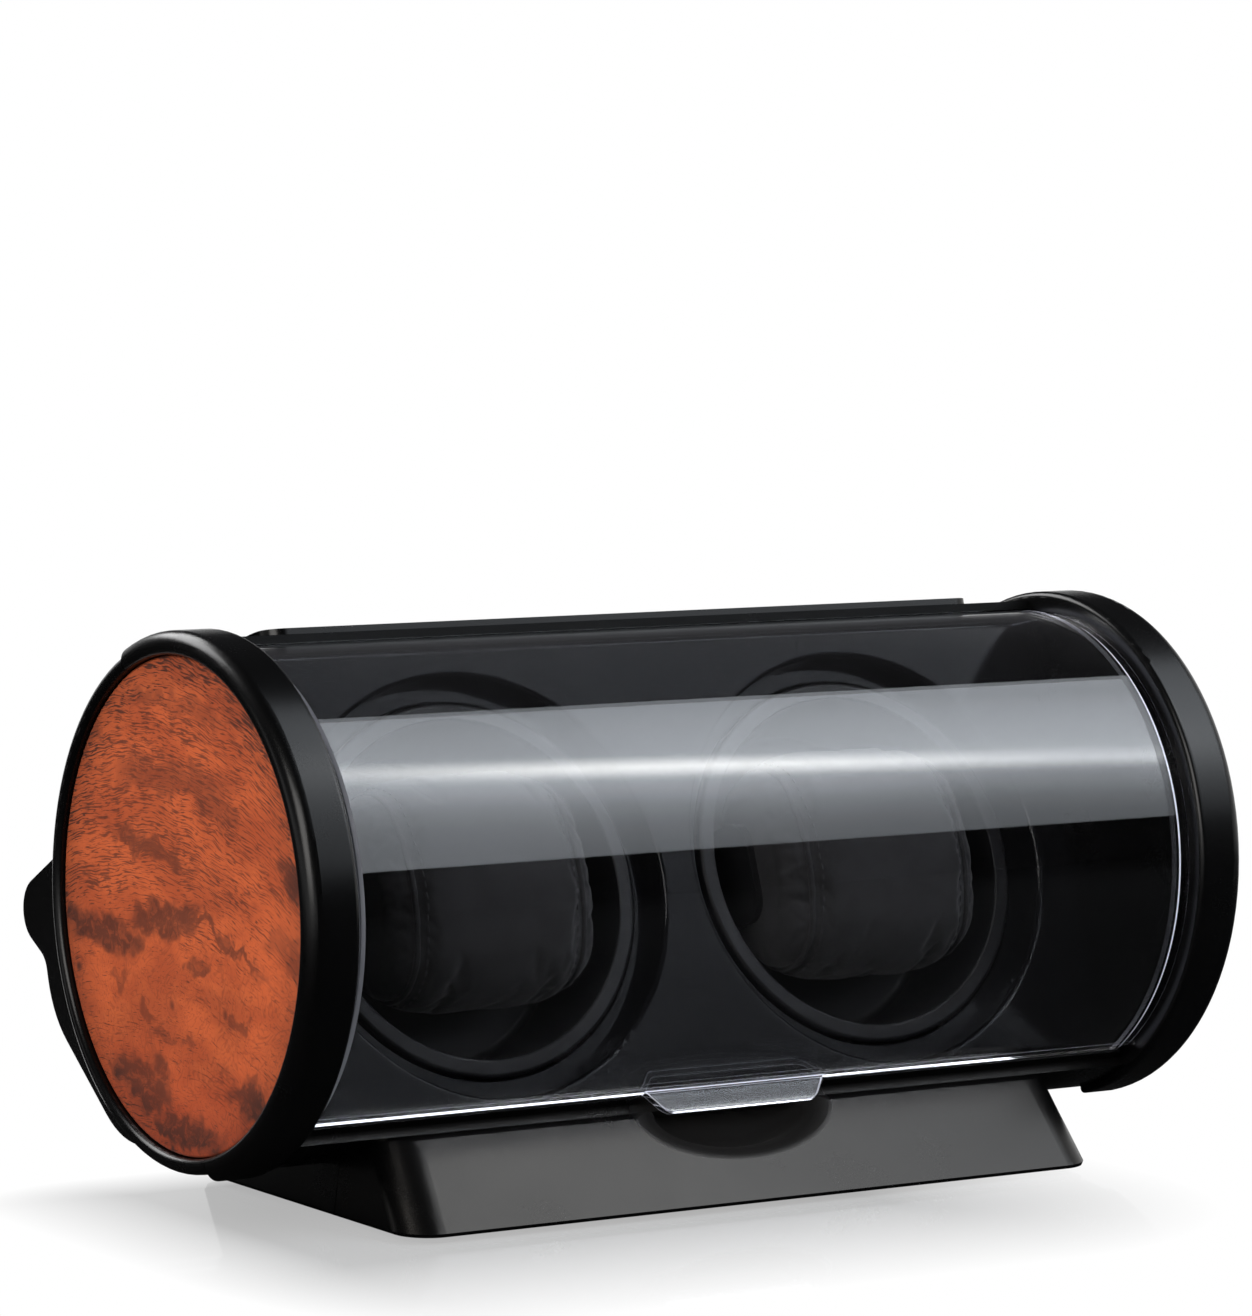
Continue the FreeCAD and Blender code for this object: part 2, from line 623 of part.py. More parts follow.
def rubber_feet():
    low = -AXIS_HEIGHT
    high = BASE_LOW + BOTTOM_INSET + FOOT_SUNK
    profile = [(0, low, 0), (FOOT_R, low, FOOT_PROUD / 2), (FOOT_R, high, 0), (0, high, 0)]
    return Part.makeCompound([turned_z(profile).translated(V(*spot, 0)) for spot in foot_spots()])


def screw(length):
    """A screw along -Z, its head's underside at the origin, with a socket in the head."""
    body = union([rod_z(SCREW_HEAD_R, 0, SCREW_HEAD), rod_z(SCREW_R, -length, 0)])
    return body.cut(rod_z(SCREW_R, SCREW_HEAD - SCREW_SOCKET, SCREW_HEAD))


def base_screws():
    upward = screw(SCREW_LENGTH).rotated(V(), V(1, 0, 0), 180)
    under = BASE_LOW + BOTTOM_INSET + SCREW_HEAD
    return Part.makeCompound([upward.translated(V(x, y, under)) for x, y in boss_spots()])


def post_spots():
    near = CARRIER_HALF - 2 * POST_R
    far = INNER_END - POST_END
    return [(x, y) for x in (-far, 0, far) for y in (-near, near)]


def inner_panel():
    shape = block(-INNER_END, INNER_END, -PANEL_HALF, PANEL_HALF, PANEL_BACK, PANEL_AHEAD)
    floor = PANEL_AHEAD - WELL_DEPTH
    for name, side in SIDES:
        centre = (side * DRUM_X, -DRUM_DROP)
        shape = shape.fuse(rod_z(OPENING_R + WELL_WALL, floor - WELL_WALL, PANEL_BACK, *centre))
        shape = shape.cut(rod_z(OPENING_R, floor, PANEL_AHEAD, *centre))
        shape = shape.cut(rod_z(CUP_R + RIM_GAP, floor - WELL_WALL, floor, *centre))
    shape = union([shape] + [rod_z(POST_R, CARRIER_FRONT, PANEL_BACK, *spot) for spot in post_spots()])
    shape = shape.cut([rod_z(SCREW_R + SCREW_GAP, CARRIER_FRONT, CARRIER_FRONT + SCREW_LENGTH, *spot)
                       for spot in post_spots()])
    rims = [edge for edge in shape.Edges
            if edge.Curve.TypeId == "Part::GeomCircle" and abs(edge.Curve.Radius - OPENING_R) < SEAT_GAP
            and abs(edge.Curve.Center.z - PANEL_AHEAD) < SEAT_GAP]
    return leaned(shape.makeFillet(OPENING_EDGE, rims))


def motor_spots(side):
    return [(side * MOTOR_X, -DRUM_DROP + sign * MOTOR_EAR) for sign in (-1, 1)]


def carrier_plate():
    """Plate behind the cups, with a flange forward at each end."""
    shape = block(-INNER_END, INNER_END, -CARRIER_HALF, CARRIER_HALF, CARRIER_BACK, CARRIER_FRONT)
    flange = block(INNER_END - CARRIER_THICK, INNER_END, -CARRIER_FLANGE_HALF, CARRIER_FLANGE_HALF,
                   CARRIER_FRONT, CARRIER_FRONT + CARRIER_FLANGE)
    shape = union([shape] + both_ends(flange))
    cuts = []
    for name, side in SIDES:
        cuts.append(rod_z(BUSH_R + SEAT_GAP / 2, CARRIER_BACK, CARRIER_FRONT, side * DRUM_X, -DRUM_DROP))
        cuts.append(rod_z(MOTOR_BOSS_R + SEAT_GAP, CARRIER_BACK, CARRIER_FRONT, side * MOTOR_X, -DRUM_DROP))
        cuts += [rod_z(SCREW_R + SCREW_GAP, CARRIER_BACK, CARRIER_FRONT, *spot) for spot in motor_spots(side)]
        near = side * (DRUM_X + CARRIER_WINDOW_NEAR)
        far = side * (DRUM_X + CARRIER_WINDOW_FAR)
        window = box_corners(min(near, far), max(near, far), -CARRIER_WINDOW, CARRIER_WINDOW, POST_R)
        cuts.append(plate(window, CARRIER_BACK, CARRIER_FRONT))
    cuts += [rod_z(SCREW_R + SCREW_GAP, CARRIER_BACK, CARRIER_FRONT, *spot) for spot in post_spots()]
    shelf = CARRIER_FRONT + CARRIER_FLANGE / 2
    cuts += [rod_x(SCREW_R + SCREW_GAP, -FAR, FAR).translated(V(0, y, shelf))
             for y in (-CARRIER_FLANGE_HALF / 2, CARRIER_FLANGE_HALF / 2)]
    return leaned(shape.cut(cuts))


def panel_screws():
    upward = screw(SCREW_LENGTH - SCREW_HEAD).rotated(V(), V(1, 0, 0), 180)
    return leaned(Part.makeCompound([upward.translated(V(*spot, CARRIER_BACK)) for spot in post_spots()]))


def carrier_screws():
    """Screws through the carrier's end flanges into the end plates."""
    shelf = CARRIER_FRONT + CARRIER_FLANGE / 2
    length = CARRIER_THICK + SEAT_GAP + END_WEB
    single = screw(length).rotated(V(), V(0, 1, 0), -90)
    under = INNER_END - CARRIER_THICK
    spots = [(under, y, shelf) for y in (-CARRIER_FLANGE_HALF / 2, CARRIER_FLANGE_HALF / 2)]
    pieces = [single.translated(V(*spot)) for spot in spots]
    return leaned(Part.makeCompound(pieces + [piece.mirror(V(), V(1, 0, 0)) for piece in pieces]))


def motor_screws():
    single = screw(CARRIER_THICK + EAR_THICK)
    spots = [spot for name, side in SIDES for spot in motor_spots(side)]
    return leaned(Part.makeCompound([single.translated(V(*spot, CARRIER_FRONT)) for spot in spots]))


def winder_cup():
    wide = CUP_R - CUP_WALL
    profile = [(SHAFT_R, CUP_FLOOR, 0), (wide - CUP_WALL - CUP_DRAFT, CUP_FLOOR, CUP_CORNER - CUP_WALL),
               (wide - CUP_WALL, CUP_FRONT, CUP_WALL / 4), (CUP_R, CUP_FRONT, CUP_FLANGE / 2),
               (CUP_R, CUP_FRONT - CUP_FLANGE, 0), (wide, CUP_FRONT - CUP_FLANGE, 0),
               (wide - CUP_DRAFT, CUP_BACK, CUP_CORNER), (HUB_R, CUP_BACK, 0), (HUB_R, PULLEY_FRONT, 0),
               (SHAFT_R, PULLEY_FRONT, 0)]
    return turned_z(profile)


def drum_shaft():
    return rod_z(SHAFT_R, SHAFT_BACK, CUP_FLOOR)


def drum_bush():
    bore = SHAFT_R + RUNNING_GAP
    return turned_z([(bore, CARRIER_FRONT + BUSH_FLANGE, 0), (BUSH_FLANGE_R, CARRIER_FRONT + BUSH_FLANGE, 0),
                     (BUSH_FLANGE_R, CARRIER_FRONT, 0), (BUSH_R, CARRIER_FRONT, 0),
                     (BUSH_R, CARRIER_BACK - BUSH_PROUD, 0), (bore, CARRIER_BACK - BUSH_PROUD, 0)])


def shaft_clip():
    back = CLIP_FRONT - CLIP_THICK
    return turned_z([(SHAFT_R, CLIP_FRONT, 0), (CLIP_R, CLIP_FRONT, 0),
                     (CLIP_R, back, 0), (SHAFT_R, back, 0)])


def pulley(bore, rim):
    half = GROOVE_WIDE / 2
    bottom = rim - GROOVE
    return turned_z([(bore, PULLEY_FRONT, 0), (rim, PULLEY_FRONT, 0), (rim, PULLEY_MID + half, 0),
                     (bottom, PULLEY_MID + half, 0), (bottom, PULLEY_MID - half, 0),
                     (rim, PULLEY_MID - half, 0), (rim, PULLEY_BACK, 0), (bore, PULLEY_BACK, 0)])


def motor_pulley():
    """Pulley with the motor's output shaft, which runs in the gearbox."""
    shaft = rod_z(MOTOR_SHAFT_R, CARRIER_BACK - MOTOR_SHAFT_IN, PULLEY_FRONT)
    return union([pulley(MOTOR_SHAFT_R / 2, MOTOR_PULLEY_R), shaft])


def belt_loop(grow, span):
    """Outline round both pulleys, drawn about the cup's axis, with the motor towards +X."""
    large = PULLEY_R - GROOVE + BELT_GAP + grow
    small = MOTOR_PULLEY_R - GROOVE + BELT_GAP + grow
    lean = math.acos((large - small) / span)
    edges = []
    ends = []
    for radius, centre, through in ((large, 0, math.pi), (small, span, 0)):
        top = V(centre + radius * math.cos(lean), radius * math.sin(lean), 0)
        low = V(top.x, -top.y, 0)
        edges.append(Part.Arc(top, V(centre + radius * math.cos(through), 0, 0), low).toShape())
        ends.append((top, low))
    edges += [Part.makeLine(ends[0][row], ends[1][row]) for row in (0, 1)]
    return Part.Face(Part.Wire(Part.__sortEdges__(edges)))


def drive_belt():
    span = DRUM_X - MOTOR_X
    shape = belt_loop(BELT_THICK, span).cut(belt_loop(0, span)).extrude(V(0, 0, BELT_WIDE))
    return shape.translated(V(0, 0, PULLEY_MID - BELT_WIDE / 2))


def gear_motor():
    bore = MOTOR_SHAFT_R + RUNNING_GAP
    back = CARRIER_BACK - GEARBOX_LENGTH
    body = [rod_z(GEARBOX_R, back, CARRIER_BACK), rod_z(MOTOR_R, back - MOTOR_LENGTH, back),
            rod_z(MOTOR_BOSS_R, CARRIER_BACK, CARRIER_FRONT - SEAT_GAP)]
    ear = plate(box_corners(-EAR_R, EAR_R, -MOTOR_EAR - EAR_R, MOTOR_EAR + EAR_R, EAR_R),
                CARRIER_BACK - EAR_THICK, CARRIER_BACK)
    holes = [rod_z(SCREW_R + SCREW_GAP, back, CARRIER_FRONT, 0, sign * MOTOR_EAR) for sign in (-1, 1)]
    holes.append(rod_z(bore, CARRIER_BACK - MOTOR_SHAFT_IN - END_GAP, CARRIER_FRONT))
    return union(body + [ear]).cut(holes)


def cushion_holder():
    """U of moulded strip on the cup's floor, with an arm at each end of the cushion."""
    inner = HOLDER_HALF - HOLDER_THICK
    low = CUP_FLOOR
    high = CUP_FLOOR + HOLDER_TALL
    corners = [(-HOLDER_HALF, low, HOLDER_THICK), (HOLDER_HALF, low, HOLDER_THICK), (HOLDER_HALF, high, 0),
               (inner, high, 0), (inner, low + HOLDER_THICK, 0), (-inner, low + HOLDER_THICK, 0),
               (-inner, high, 0), (-HOLDER_HALF, high, 0)]
    strip = Part.Face(Part.Wire(edges_through(corners, upright))).extrude(V(0, 2 * HOLDER_WIDE, 0))
    strip.translate(V(0, -HOLDER_WIDE, 0))
    arms = prism([(-HOLDER_WIDE, low, 0), (HOLDER_WIDE, low, 0), (HOLDER_WIDE, high, HOLDER_CORNER),
                  (-HOLDER_WIDE, high, HOLDER_CORNER)], -HOLDER_HALF, HOLDER_HALF)
    return strip.common(arms)


def oval(x, scale):
    """Section of the cushion: four arcs, flatter in front and behind."""
    high = CUSHION_HIGH * scale
    deep = CUSHION_DEEP * scale
    middle = PANEL_AHEAD + CUSHION_PROUD - CUSHION_DEEP
    corner_y = high * CUSHION_FULL
    corner_z = deep * CUSHION_FULL
    knots = [(corner_y, -corner_z), (high, 0), (corner_y, corner_z), (0, deep), (-corner_y, corner_z),
             (-high, 0), (-corner_y, -corner_z), (0, -deep), (corner_y, -corner_z)]
    points = [V(x, y, middle + z) for y, z in knots]
    return Part.Wire([Part.Arc(*points[start:start + 3]).toShape() for start in (0, 2, 4, 6)])


def watch_cushion():
    shoulder = CUSHION_HALF * CUSHION_SHOULDER_AT
    sections = [oval(-CUSHION_HALF, CUSHION_END), oval(-shoulder, CUSHION_SHOULDER), oval(0, 1),
                oval(shoulder, CUSHION_SHOULDER), oval(CUSHION_HALF, CUSHION_END)]
    return Part.makeLoft(sections, True, False)


def mode_knob():
    """Knob and stem, drawn about +Z from the slope's outer face, with a ridge as its pointer."""
    cap = turned_z([(0, KNOB_GAP, 0), (KNOB_R, KNOB_GAP, 0),
                    (KNOB_R, KNOB_TALL, KNOB_POINTER), (0, KNOB_TALL, 0)])
    ridge = block(-KNOB_POINTER / 2, KNOB_POINTER / 2, 0, KNOB_R - KNOB_POINTER, KNOB_TALL - KNOB_POINTER,
                  KNOB_TALL + KNOB_POINTER / 2)
    stem = rod_z(STEM_R, -SHELL_WALL - SWITCH_DEEP / 2, KNOB_GAP)
    return union([cap, ridge, stem])


def mode_switch():
    low = -SHELL_WALL - SWITCH_DEEP
    body = block(-SWITCH_HALF, SWITCH_HALF, -SWITCH_HALF, SWITCH_HALF, low, -SHELL_WALL)
    neck = rod_z(SWITCH_NECK_R, -SHELL_WALL, 0)
    bore = rod_z(STEM_R + RUNNING_GAP, -SHELL_WALL - SWITCH_DEEP / 2 - END_GAP, 0)
    return union([body, neck]).cut(bore)


def circuit_board():
    top = -SHELL_WALL - SWITCH_DEEP
    return block(-BOARD_HALF, BOARD_HALF, -BOARD_INNER, BOARD_OUTER, top - BOARD_THICK, top)


def dc_inlet():
    """Round power inlet: flange, barrel and centre pin."""
    barrel = union([rod_z(INLET_FLANGE_R, 0, INLET_FLANGE), rod_z(INLET_R, -INLET_DEEP, 0)])
    barrel = barrel.cut(rod_z(INLET_BORE_R, -INLET_DEEP + INLET_FLOOR, INLET_FLANGE))
    return union([barrel, rod_z(INLET_PIN_R, -INLET_DEEP, -INLET_FLANGE)])


def build():
    os.makedirs("parts", exist_ok=True)
    save("front_frame", front_frame())
    save("rear_shell", rear_shell())
    save("top_strip", top_strip())
    save("clear_lid", clear_lid())
    save("base_plate", base_plate())
    save("rubber_feet", rubber_feet())
    save("base_screws", base_screws())
    save("inner_panel", inner_panel())
    save("carrier_plate", carrier_plate())
    save("panel_screws", panel_screws())
    save("carrier_screws", carrier_screws())
    save("motor_screws", motor_screws())
    for name, shape in zip(("right", "left"), both_ends(end_plate())):
        save(name + "_end_plate", shape)
    for name, shape in zip(("right", "left"), both_ends(wood_disc())):
        save(name + "_wood_disc", shape)
    for name, side in SIDES:
        save(name + "_winder_cup", on_drum(winder_cup(), side))
        save(name + "_cushion_holder", on_drum(cushion_holder(), side))
        save(name + "_watch_cushion", on_drum(watch_cushion(), side))
        save(name + "_drum_shaft", on_drum(drum_shaft(), side))
        save(name + "_drum_bush", on_drum(drum_bush(), side))
        save(name + "_shaft_clip", on_drum(shaft_clip(), side))
        save(name + "_drum_pulley", on_drum(pulley(SHAFT_R, PULLEY_R), side))
        save(name + "_motor_pulley", on_motor(motor_pulley(), side))
        save(name + "_gear_motor", on_motor(gear_motor(), side))
        turn = 180 if side > 0 else 0
        save(name + "_drive_belt", on_drum(drive_belt().rotated(V(), V(0, 0, 1), turn), side))
        save(name + "_mode_knob", slope_frame(mode_knob(), side * KNOB_X))
        save(name + "_mode_switch", slope_frame(mode_switch(), side * KNOB_X))
    save("circuit_board", slope_frame(circuit_board(), 0))
    save("dc_inlet", skirt_frame(dc_inlet(), INLET_X))


build()
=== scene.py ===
import json
import math

import bmesh
import bpy
from bpy.props import FloatProperty, FloatVectorProperty, IntProperty, PointerProperty
from mathutils import Matrix, Vector
from mathutils.bvhtree import BVHTree


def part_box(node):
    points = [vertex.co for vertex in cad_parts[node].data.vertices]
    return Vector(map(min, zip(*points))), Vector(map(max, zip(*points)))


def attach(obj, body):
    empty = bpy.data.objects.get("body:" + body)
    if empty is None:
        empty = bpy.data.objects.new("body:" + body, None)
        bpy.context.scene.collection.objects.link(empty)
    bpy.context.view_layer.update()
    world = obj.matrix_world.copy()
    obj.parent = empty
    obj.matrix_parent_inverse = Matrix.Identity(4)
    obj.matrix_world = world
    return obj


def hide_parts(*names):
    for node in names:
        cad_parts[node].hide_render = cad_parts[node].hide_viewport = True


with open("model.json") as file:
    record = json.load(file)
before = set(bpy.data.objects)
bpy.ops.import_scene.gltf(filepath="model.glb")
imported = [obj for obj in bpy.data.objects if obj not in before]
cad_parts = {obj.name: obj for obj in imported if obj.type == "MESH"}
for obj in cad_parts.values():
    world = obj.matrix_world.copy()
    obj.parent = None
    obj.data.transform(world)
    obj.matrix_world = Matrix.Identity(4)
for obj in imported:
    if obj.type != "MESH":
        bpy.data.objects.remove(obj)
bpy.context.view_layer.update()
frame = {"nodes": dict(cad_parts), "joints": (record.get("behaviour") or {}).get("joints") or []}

bl_info = {
    "name": "Watch Winder Box",
    "version": (1, 0, 0),
    "blender": (4, 5, 0),
    "location": "3D View > Sidebar > Winder Box",
    "description": "Finishes, clear lid, cushions, knobs and stage for a watch winder box",
    "category": "Object",
}

NODES = frame["nodes"]
JOINTS = {joint["name"]: joint for joint in frame["joints"]}
SIDES = ("left", "right")
MM = 0.001
WHITE = (1, 1, 1, 1)
BLACK = (0, 0, 0, 1)

# The cylinder's axis runs along X through this point, and the cups lean back with the inner panel.
AXIS = Vector(JOINTS["lid_roll"]["pos_m"])
LEAN_OUT = Vector(JOINTS["left_drum_spin"]["axis"])
LEAN_UP = Vector((0, LEAN_OUT.z, -LEAN_OUT.y))


def colour(name, words, value):
    return FloatVectorProperty(name=name, description=words, default=value, size=3, min=0, max=1, subtype="COLOR")


def length(name, words, millimetres):
    return FloatProperty(name=name, description=words, default=millimetres * MM, min=0, unit="LENGTH", precision=4)


def share(name, words, value):
    return FloatProperty(name=name, description=words, default=value, min=0, max=1, subtype="FACTOR")


def number(name, words, value):
    return FloatProperty(name=name, description=words, default=value)


class WinderFinishes(bpy.types.PropertyGroup):
    """Colours and gloss of the winder box's materials."""
    satin: colour("Satin black", "Moulded housing", (0.0009, 0.0009, 0.001))
    satin_gloss: share("Satin roughness", "Roughness of the moulded housing", 0.26)
    panel: colour("Panel black", "Glossy inner panel", (0.002, 0.002, 0.0023))
    cup: colour("Cup black", "Turning cups and cushion holders", (0.004, 0.004, 0.0045))
    wood_light: colour("Light wood", "Light ground of the burl", (0.475, 0.093, 0.027))
    wood_mid: colour("Middle wood", "Flamed ground of the burl", (0.345, 0.066, 0.023))
    # The foot colour is painted shade at the disc's foot, darker and redder than the ground.
    wood_foot_shade: colour("Red wood", "Foot of the burl", (0.30, 0.045, 0.018))
    # The dark wood colour serves the burl's flecks and clouds, and also the painted shade at the disc's rim and foot.
    wood_figure_and_shade: colour("Dark wood", "Flecks and clouds of the burl", (0.060, 0.022, 0.016))
    cloth: colour("Cushion cloth", "Nap of the watch cushions", (0.0065, 0.0065, 0.007))
    thread: colour("Thread", "Stitches of the watch cushions", (0.014, 0.014, 0.015))
    clear: colour("Clear plastic", "Lid", (0.975, 0.978, 1.0))
    # Lid edge colour: painted highlight, near white, standing for the bright lines along the lid's clear edges.
    edge: colour("Lid edge", "Polished edges of the lid and its tab", (0.86, 0.88, 1.0))


class WinderSizes(bpy.types.PropertyGroup):
    """Sizes of the pieces that are modelled here."""
    lid_radius: length("Lid radius", "Outside of the lid", 57.2)
    lid_wall: length("Lid wall", "Thickness of the lid", 2.4)
    lid_step: length("Lid step", "End flange below the lid's face", 0.8)
    lid_half: length("Lid half length", "Lid's face, from the middle", 112.0)
    lid_edge: length("Lid edge", "Rounding of the lid's edges", 0.4)
    lid_chamfer: length("Lid chamfer", "Length of the chamfer at each end of the lid's face", 0.9)
    lid_bottom: number("Lid bottom", "Angle of the lower edge, from the front", -53.3)
    lid_top: number("Lid top", "Angle of the upper edge, from the front", 102.0)
    tab_root: length("Tab root", "Half width of the finger tab at the lid", 25.5)
    tab_tip: length("Tab tip", "Half width of the finger tab at its edge", 20.5)
    tab_reach: length("Tab reach", "Finger tab beyond the lid", 5.6)
    tab_thick: length("Tab thickness", "Thickness of the finger tab", 1.8)
    tab_corner: length("Tab corner", "Rounding of the tab's corners", 4.0)
    wood_radius: length("Wood radius", "Radius of a wood disc", 56.0)
    piping: length("Piping", "Radius of the cushions' piping", 0.75)
    stitch_gap: length("Stitch spacing", "Pitch of the stitches", 2.6)
    stitch: length("Stitch", "Length of a stitch", 1.7)
    flutes: IntProperty(name="Flutes", description="Ribs round a mode knob", default=28, min=8)
    knob_radius: length("Knob radius", "Outside of a mode knob", 6.5)
    knob_height: length("Knob height", "Height of a mode knob", 7.0)


class WinderStage(bpy.types.PropertyGroup):
    """Camera and light."""
    lens: number("Lens", "Focal length in millimetres", 161.43)
    azimuth: number("Azimuth", "Camera to the left of the front, in degrees", 32.825)
    elevation: number("Elevation", "Camera above the horizon, in degrees", 5.258)
    roll: number("Roll", "Camera's roll, in degrees", -0.533)
    distance: length("Distance", "Camera to the cylinder's middle", 1381.3)
    softbox: number("Softbox", "Power of the softbox over the lid, in watts", 8.0)
    side_light: number("Side light", "Power of the lamp that lights the left end, in watts", 9.5)
    back_light: number("Back light", "Power of the lamp behind, in watts", 9.0)
    fill: number("Fill", "Light from all round", 0.45)


def settings(*names):
    """The scene's property groups of these names."""
    return [getattr(bpy.context.scene, "winder_" + name) for name in names]


# Node helpers

def plug(tree, node, inputs):
    """Fills a node's inputs: a socket is joined, and anything else is set as a value."""
    for key, value in inputs.items():
        if isinstance(value, bpy.types.NodeSocket):
            tree.links.new(value, node.inputs[key])
        else:
            node.inputs[key].default_value = value
    return node


def wire(tree, kind, inputs=None, **values):
    """Adds a node, sets it up, and fills its inputs."""
    made = tree.nodes.new(kind)
    for name, value in values.items():
        setattr(made, name, value)
    return plug(tree, made, inputs or {})


def calc(tree, operation, *values, clamp=False):
    made = wire(tree, "ShaderNodeMath", dict(enumerate(values)), operation=operation, use_clamp=clamp)
    return made.outputs[0]


def vec(tree, operation, *values):
    """Vector maths: a vector, or a number for LENGTH."""
    made = wire(tree, "ShaderNodeVectorMath", dict(enumerate(values)), operation=operation)
    return made.outputs["Value" if operation == "LENGTH" else "Vector"]


def split(tree, vector):
    """X, Y and Z of a vector."""
    return wire(tree, "ShaderNodeSeparateXYZ", {0: vector}).outputs


def mix(tree, factor, one, two, mode="MIX"):
    made = wire(tree, "ShaderNodeMix", {0: factor, 6: one, 7: two}, data_type="RGBA", blend_type=mode)
    return made.outputs[2]


def mix_shaders(tree, factor, one, two):
    return wire(tree, "ShaderNodeMixShader", {0: factor, 1: one, 2: two}).outputs[0]


def show(tree, surface, output="Material Output"):
    """Makes a shader the surface of a material or a world."""
    tree.links.new(surface, tree.nodes[output].inputs["Surface"])


def step(tree, value, low, high, first=0.0, last=1.0):
    """Smooth step of a value between low and high."""
    made = wire(tree, "ShaderNodeMapRange", {"Value": value, "From Min": low, "From Max": high, "To Min": first,
                                             "To Max": last}, interpolation_type="SMOOTHSTEP")
    return made.outputs["Result"]


def noise(tree, vector, scale, detail=2.0, rough=0.5, twist=0.0, output="Fac"):
    made = wire(tree, "ShaderNodeTexNoise", {"Vector": vector, "Scale": scale, "Detail": detail, "Roughness": rough,
                                             "Distortion": twist})
    return made.outputs[output]


def moved(tree, vector, location=(0, 0, 0), rotation=(0, 0, 0), scale=(1, 1, 1), kind="POINT"):
    made = wire(tree, "ShaderNodeMapping", {"Vector": vector, "Location": location, "Rotation": rotation,
                                            "Scale": scale}, vector_type=kind)
    return made.outputs["Vector"]


def bump(tree, height, millimetres):
    made = wire(tree, "ShaderNodeBump", {"Height": height, "Distance": millimetres * MM, "Strength": 1.0})
    return made.outputs["Normal"]


def rgba(value, factor=1.0):
    return (value[0] * factor, value[1] * factor, value[2] * factor, 1.0)


def new_tree(name, kind, inputs, outputs):
    """Node tree with named sockets; returns it with its input sockets and its output node."""
    tree = bpy.data.node_groups.new(name, kind + "NodeTree")
    for way, items in (("INPUT", inputs), ("OUTPUT", outputs)):
        for label, socket in items:
            tree.interface.new_socket(label, in_out=way, socket_type="NodeSocket" + socket)
    return tree, tree.nodes.new("NodeGroupInput").outputs, tree.nodes.new("NodeGroupOutput")


def floats(*labels):
    return [(label, "Float") for label in labels]


def use_group(tree, name, make, inputs):
    """Places a shader group, which is made the first time; returns its outputs."""
    shared = bpy.data.node_groups.get(name) or make(name)
    return plug(tree, wire(tree, "ShaderNodeGroup", node_tree=shared), inputs).outputs


def skin_group(name):
    """Moulded or cast skin: fine grain, with gloss that varies a little from place to place."""
    tree, inputs, sink = new_tree(name, "Shader", [("Vector", "Vector"), *floats("Grain", "Roughness", "Spread")],
                                  floats("Roughness", "Height"))
    grain = noise(tree, inputs["Vector"], inputs["Grain"], 3.0, 0.6)
    drift = calc(tree, "SUBTRACT", noise(tree, inputs["Vector"], 45.0, 3.0, 0.55), 0.5)
    fine = calc(tree, "SUBTRACT", grain, 0.5)
    both = calc(tree, "ADD", drift, calc(tree, "MULTIPLY", fine, 0.5))
    rough = calc(tree, "MULTIPLY_ADD", both, inputs["Spread"], inputs["Roughness"], clamp=True)
    plug(tree, sink, {"Roughness": rough, "Height": grain})
    return tree


def brush_group(name):
    """Brushed metal: fine lines along the grain, as a tint and as a roughness."""
    tree, inputs, sink = new_tree(name, "Shader", [("Vector", "Vector"), *floats("Roughness")],
                                  floats("Tint", "Roughness", "Height"))
    lines = noise(tree, inputs["Vector"], 1.0, 4.0, 0.6)
    rough = calc(tree, "MULTIPLY_ADD", lines, 0.25, inputs["Roughness"])
    plug(tree, sink, {"Tint": step(tree, lines, 0.2, 0.8, 0.75, 1.1), "Roughness": rough, "Height": lines})
    return tree


def new_material(name):
    """Material with a Principled shader; returns it with its tree, the shader and Object coordinates."""
    material = bpy.data.materials.new(name)
    material.use_nodes = True
    tree = material.node_tree
    place = wire(tree, "ShaderNodeTexCoord").outputs["Object"]
    return material, tree, tree.nodes["Principled BSDF"], place


def plastic(name, tint, rough, specular, grain=2600.0, depth=0.012, spread=0.08, cloud=0.2):
    """Moulded plastic: base colour with faint clouding, grain in the gloss and in the surface (depth in mm)."""
    material, tree, shader, place = new_material(name)
    skin = use_group(tree, "moulded_skin", skin_group, {"Vector": place, "Grain": grain, "Roughness": rough,
                                                        "Spread": spread})
    haze = step(tree, noise(tree, place, 60.0, 3.0), 0.3, 0.7)
    base = mix(tree, haze, rgba(tint, 1 - cloud), rgba(tint, 1 + cloud))
    plug(tree, shader, {"Base Color": base, "Roughness": skin["Roughness"], "Specular IOR Level": specular,
                        "Normal": bump(tree, skin["Height"], depth)})
    return material


def metal(name, tint, rough, stretch=(400.0, 6000.0, 400.0)):
    """Brushed or turned metal with fine lines."""
    material, tree, shader, place = new_material(name)
    lines = use_group(tree, "brushed_lines", brush_group, {"Vector": moved(tree, place, scale=stretch),
                                                           "Roughness": rough})
    plug(tree, shader, {"Base Color": mix(tree, 1.0, rgba(tint), lines["Tint"], "MULTIPLY"), "Metallic": 1.0,
                        "Roughness": lines["Roughness"], "Normal": bump(tree, lines["Height"], 0.004)})
    return material


def dress(material, *names):
    for name in names:
        mesh = NODES[name].data
        mesh.materials.clear()
        mesh.materials.append(material)


def pairs(tail):
    return [side + "_" + tail for side in SIDES]


# Mesh helpers

def new_piece(name, mesh, material, body, replaced=()):
    """Puts a finished mesh on a CAD body, in place of the nodes that it stands for."""
    mesh.materials.clear()
    mesh.materials.append(material)
    piece = loose_object(name, mesh)
    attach(piece, body)
    if replaced:
        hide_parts(*replaced)
    return piece


def settled(holder, name):
    """Plain mesh of an object with its modifiers applied; the object goes."""
    bpy.context.view_layer.update()
    graph = bpy.context.evaluated_depsgraph_get()
    mesh = bpy.data.meshes.new_from_object(holder.evaluated_get(graph), preserve_all_data_layers=True,
                                           depsgraph=graph)
    mesh.name = name
    old = holder.data
    bpy.data.objects.remove(holder)
    if isinstance(old, bpy.types.Mesh) and old.users == 0:
        bpy.data.meshes.remove(old)
    return mesh


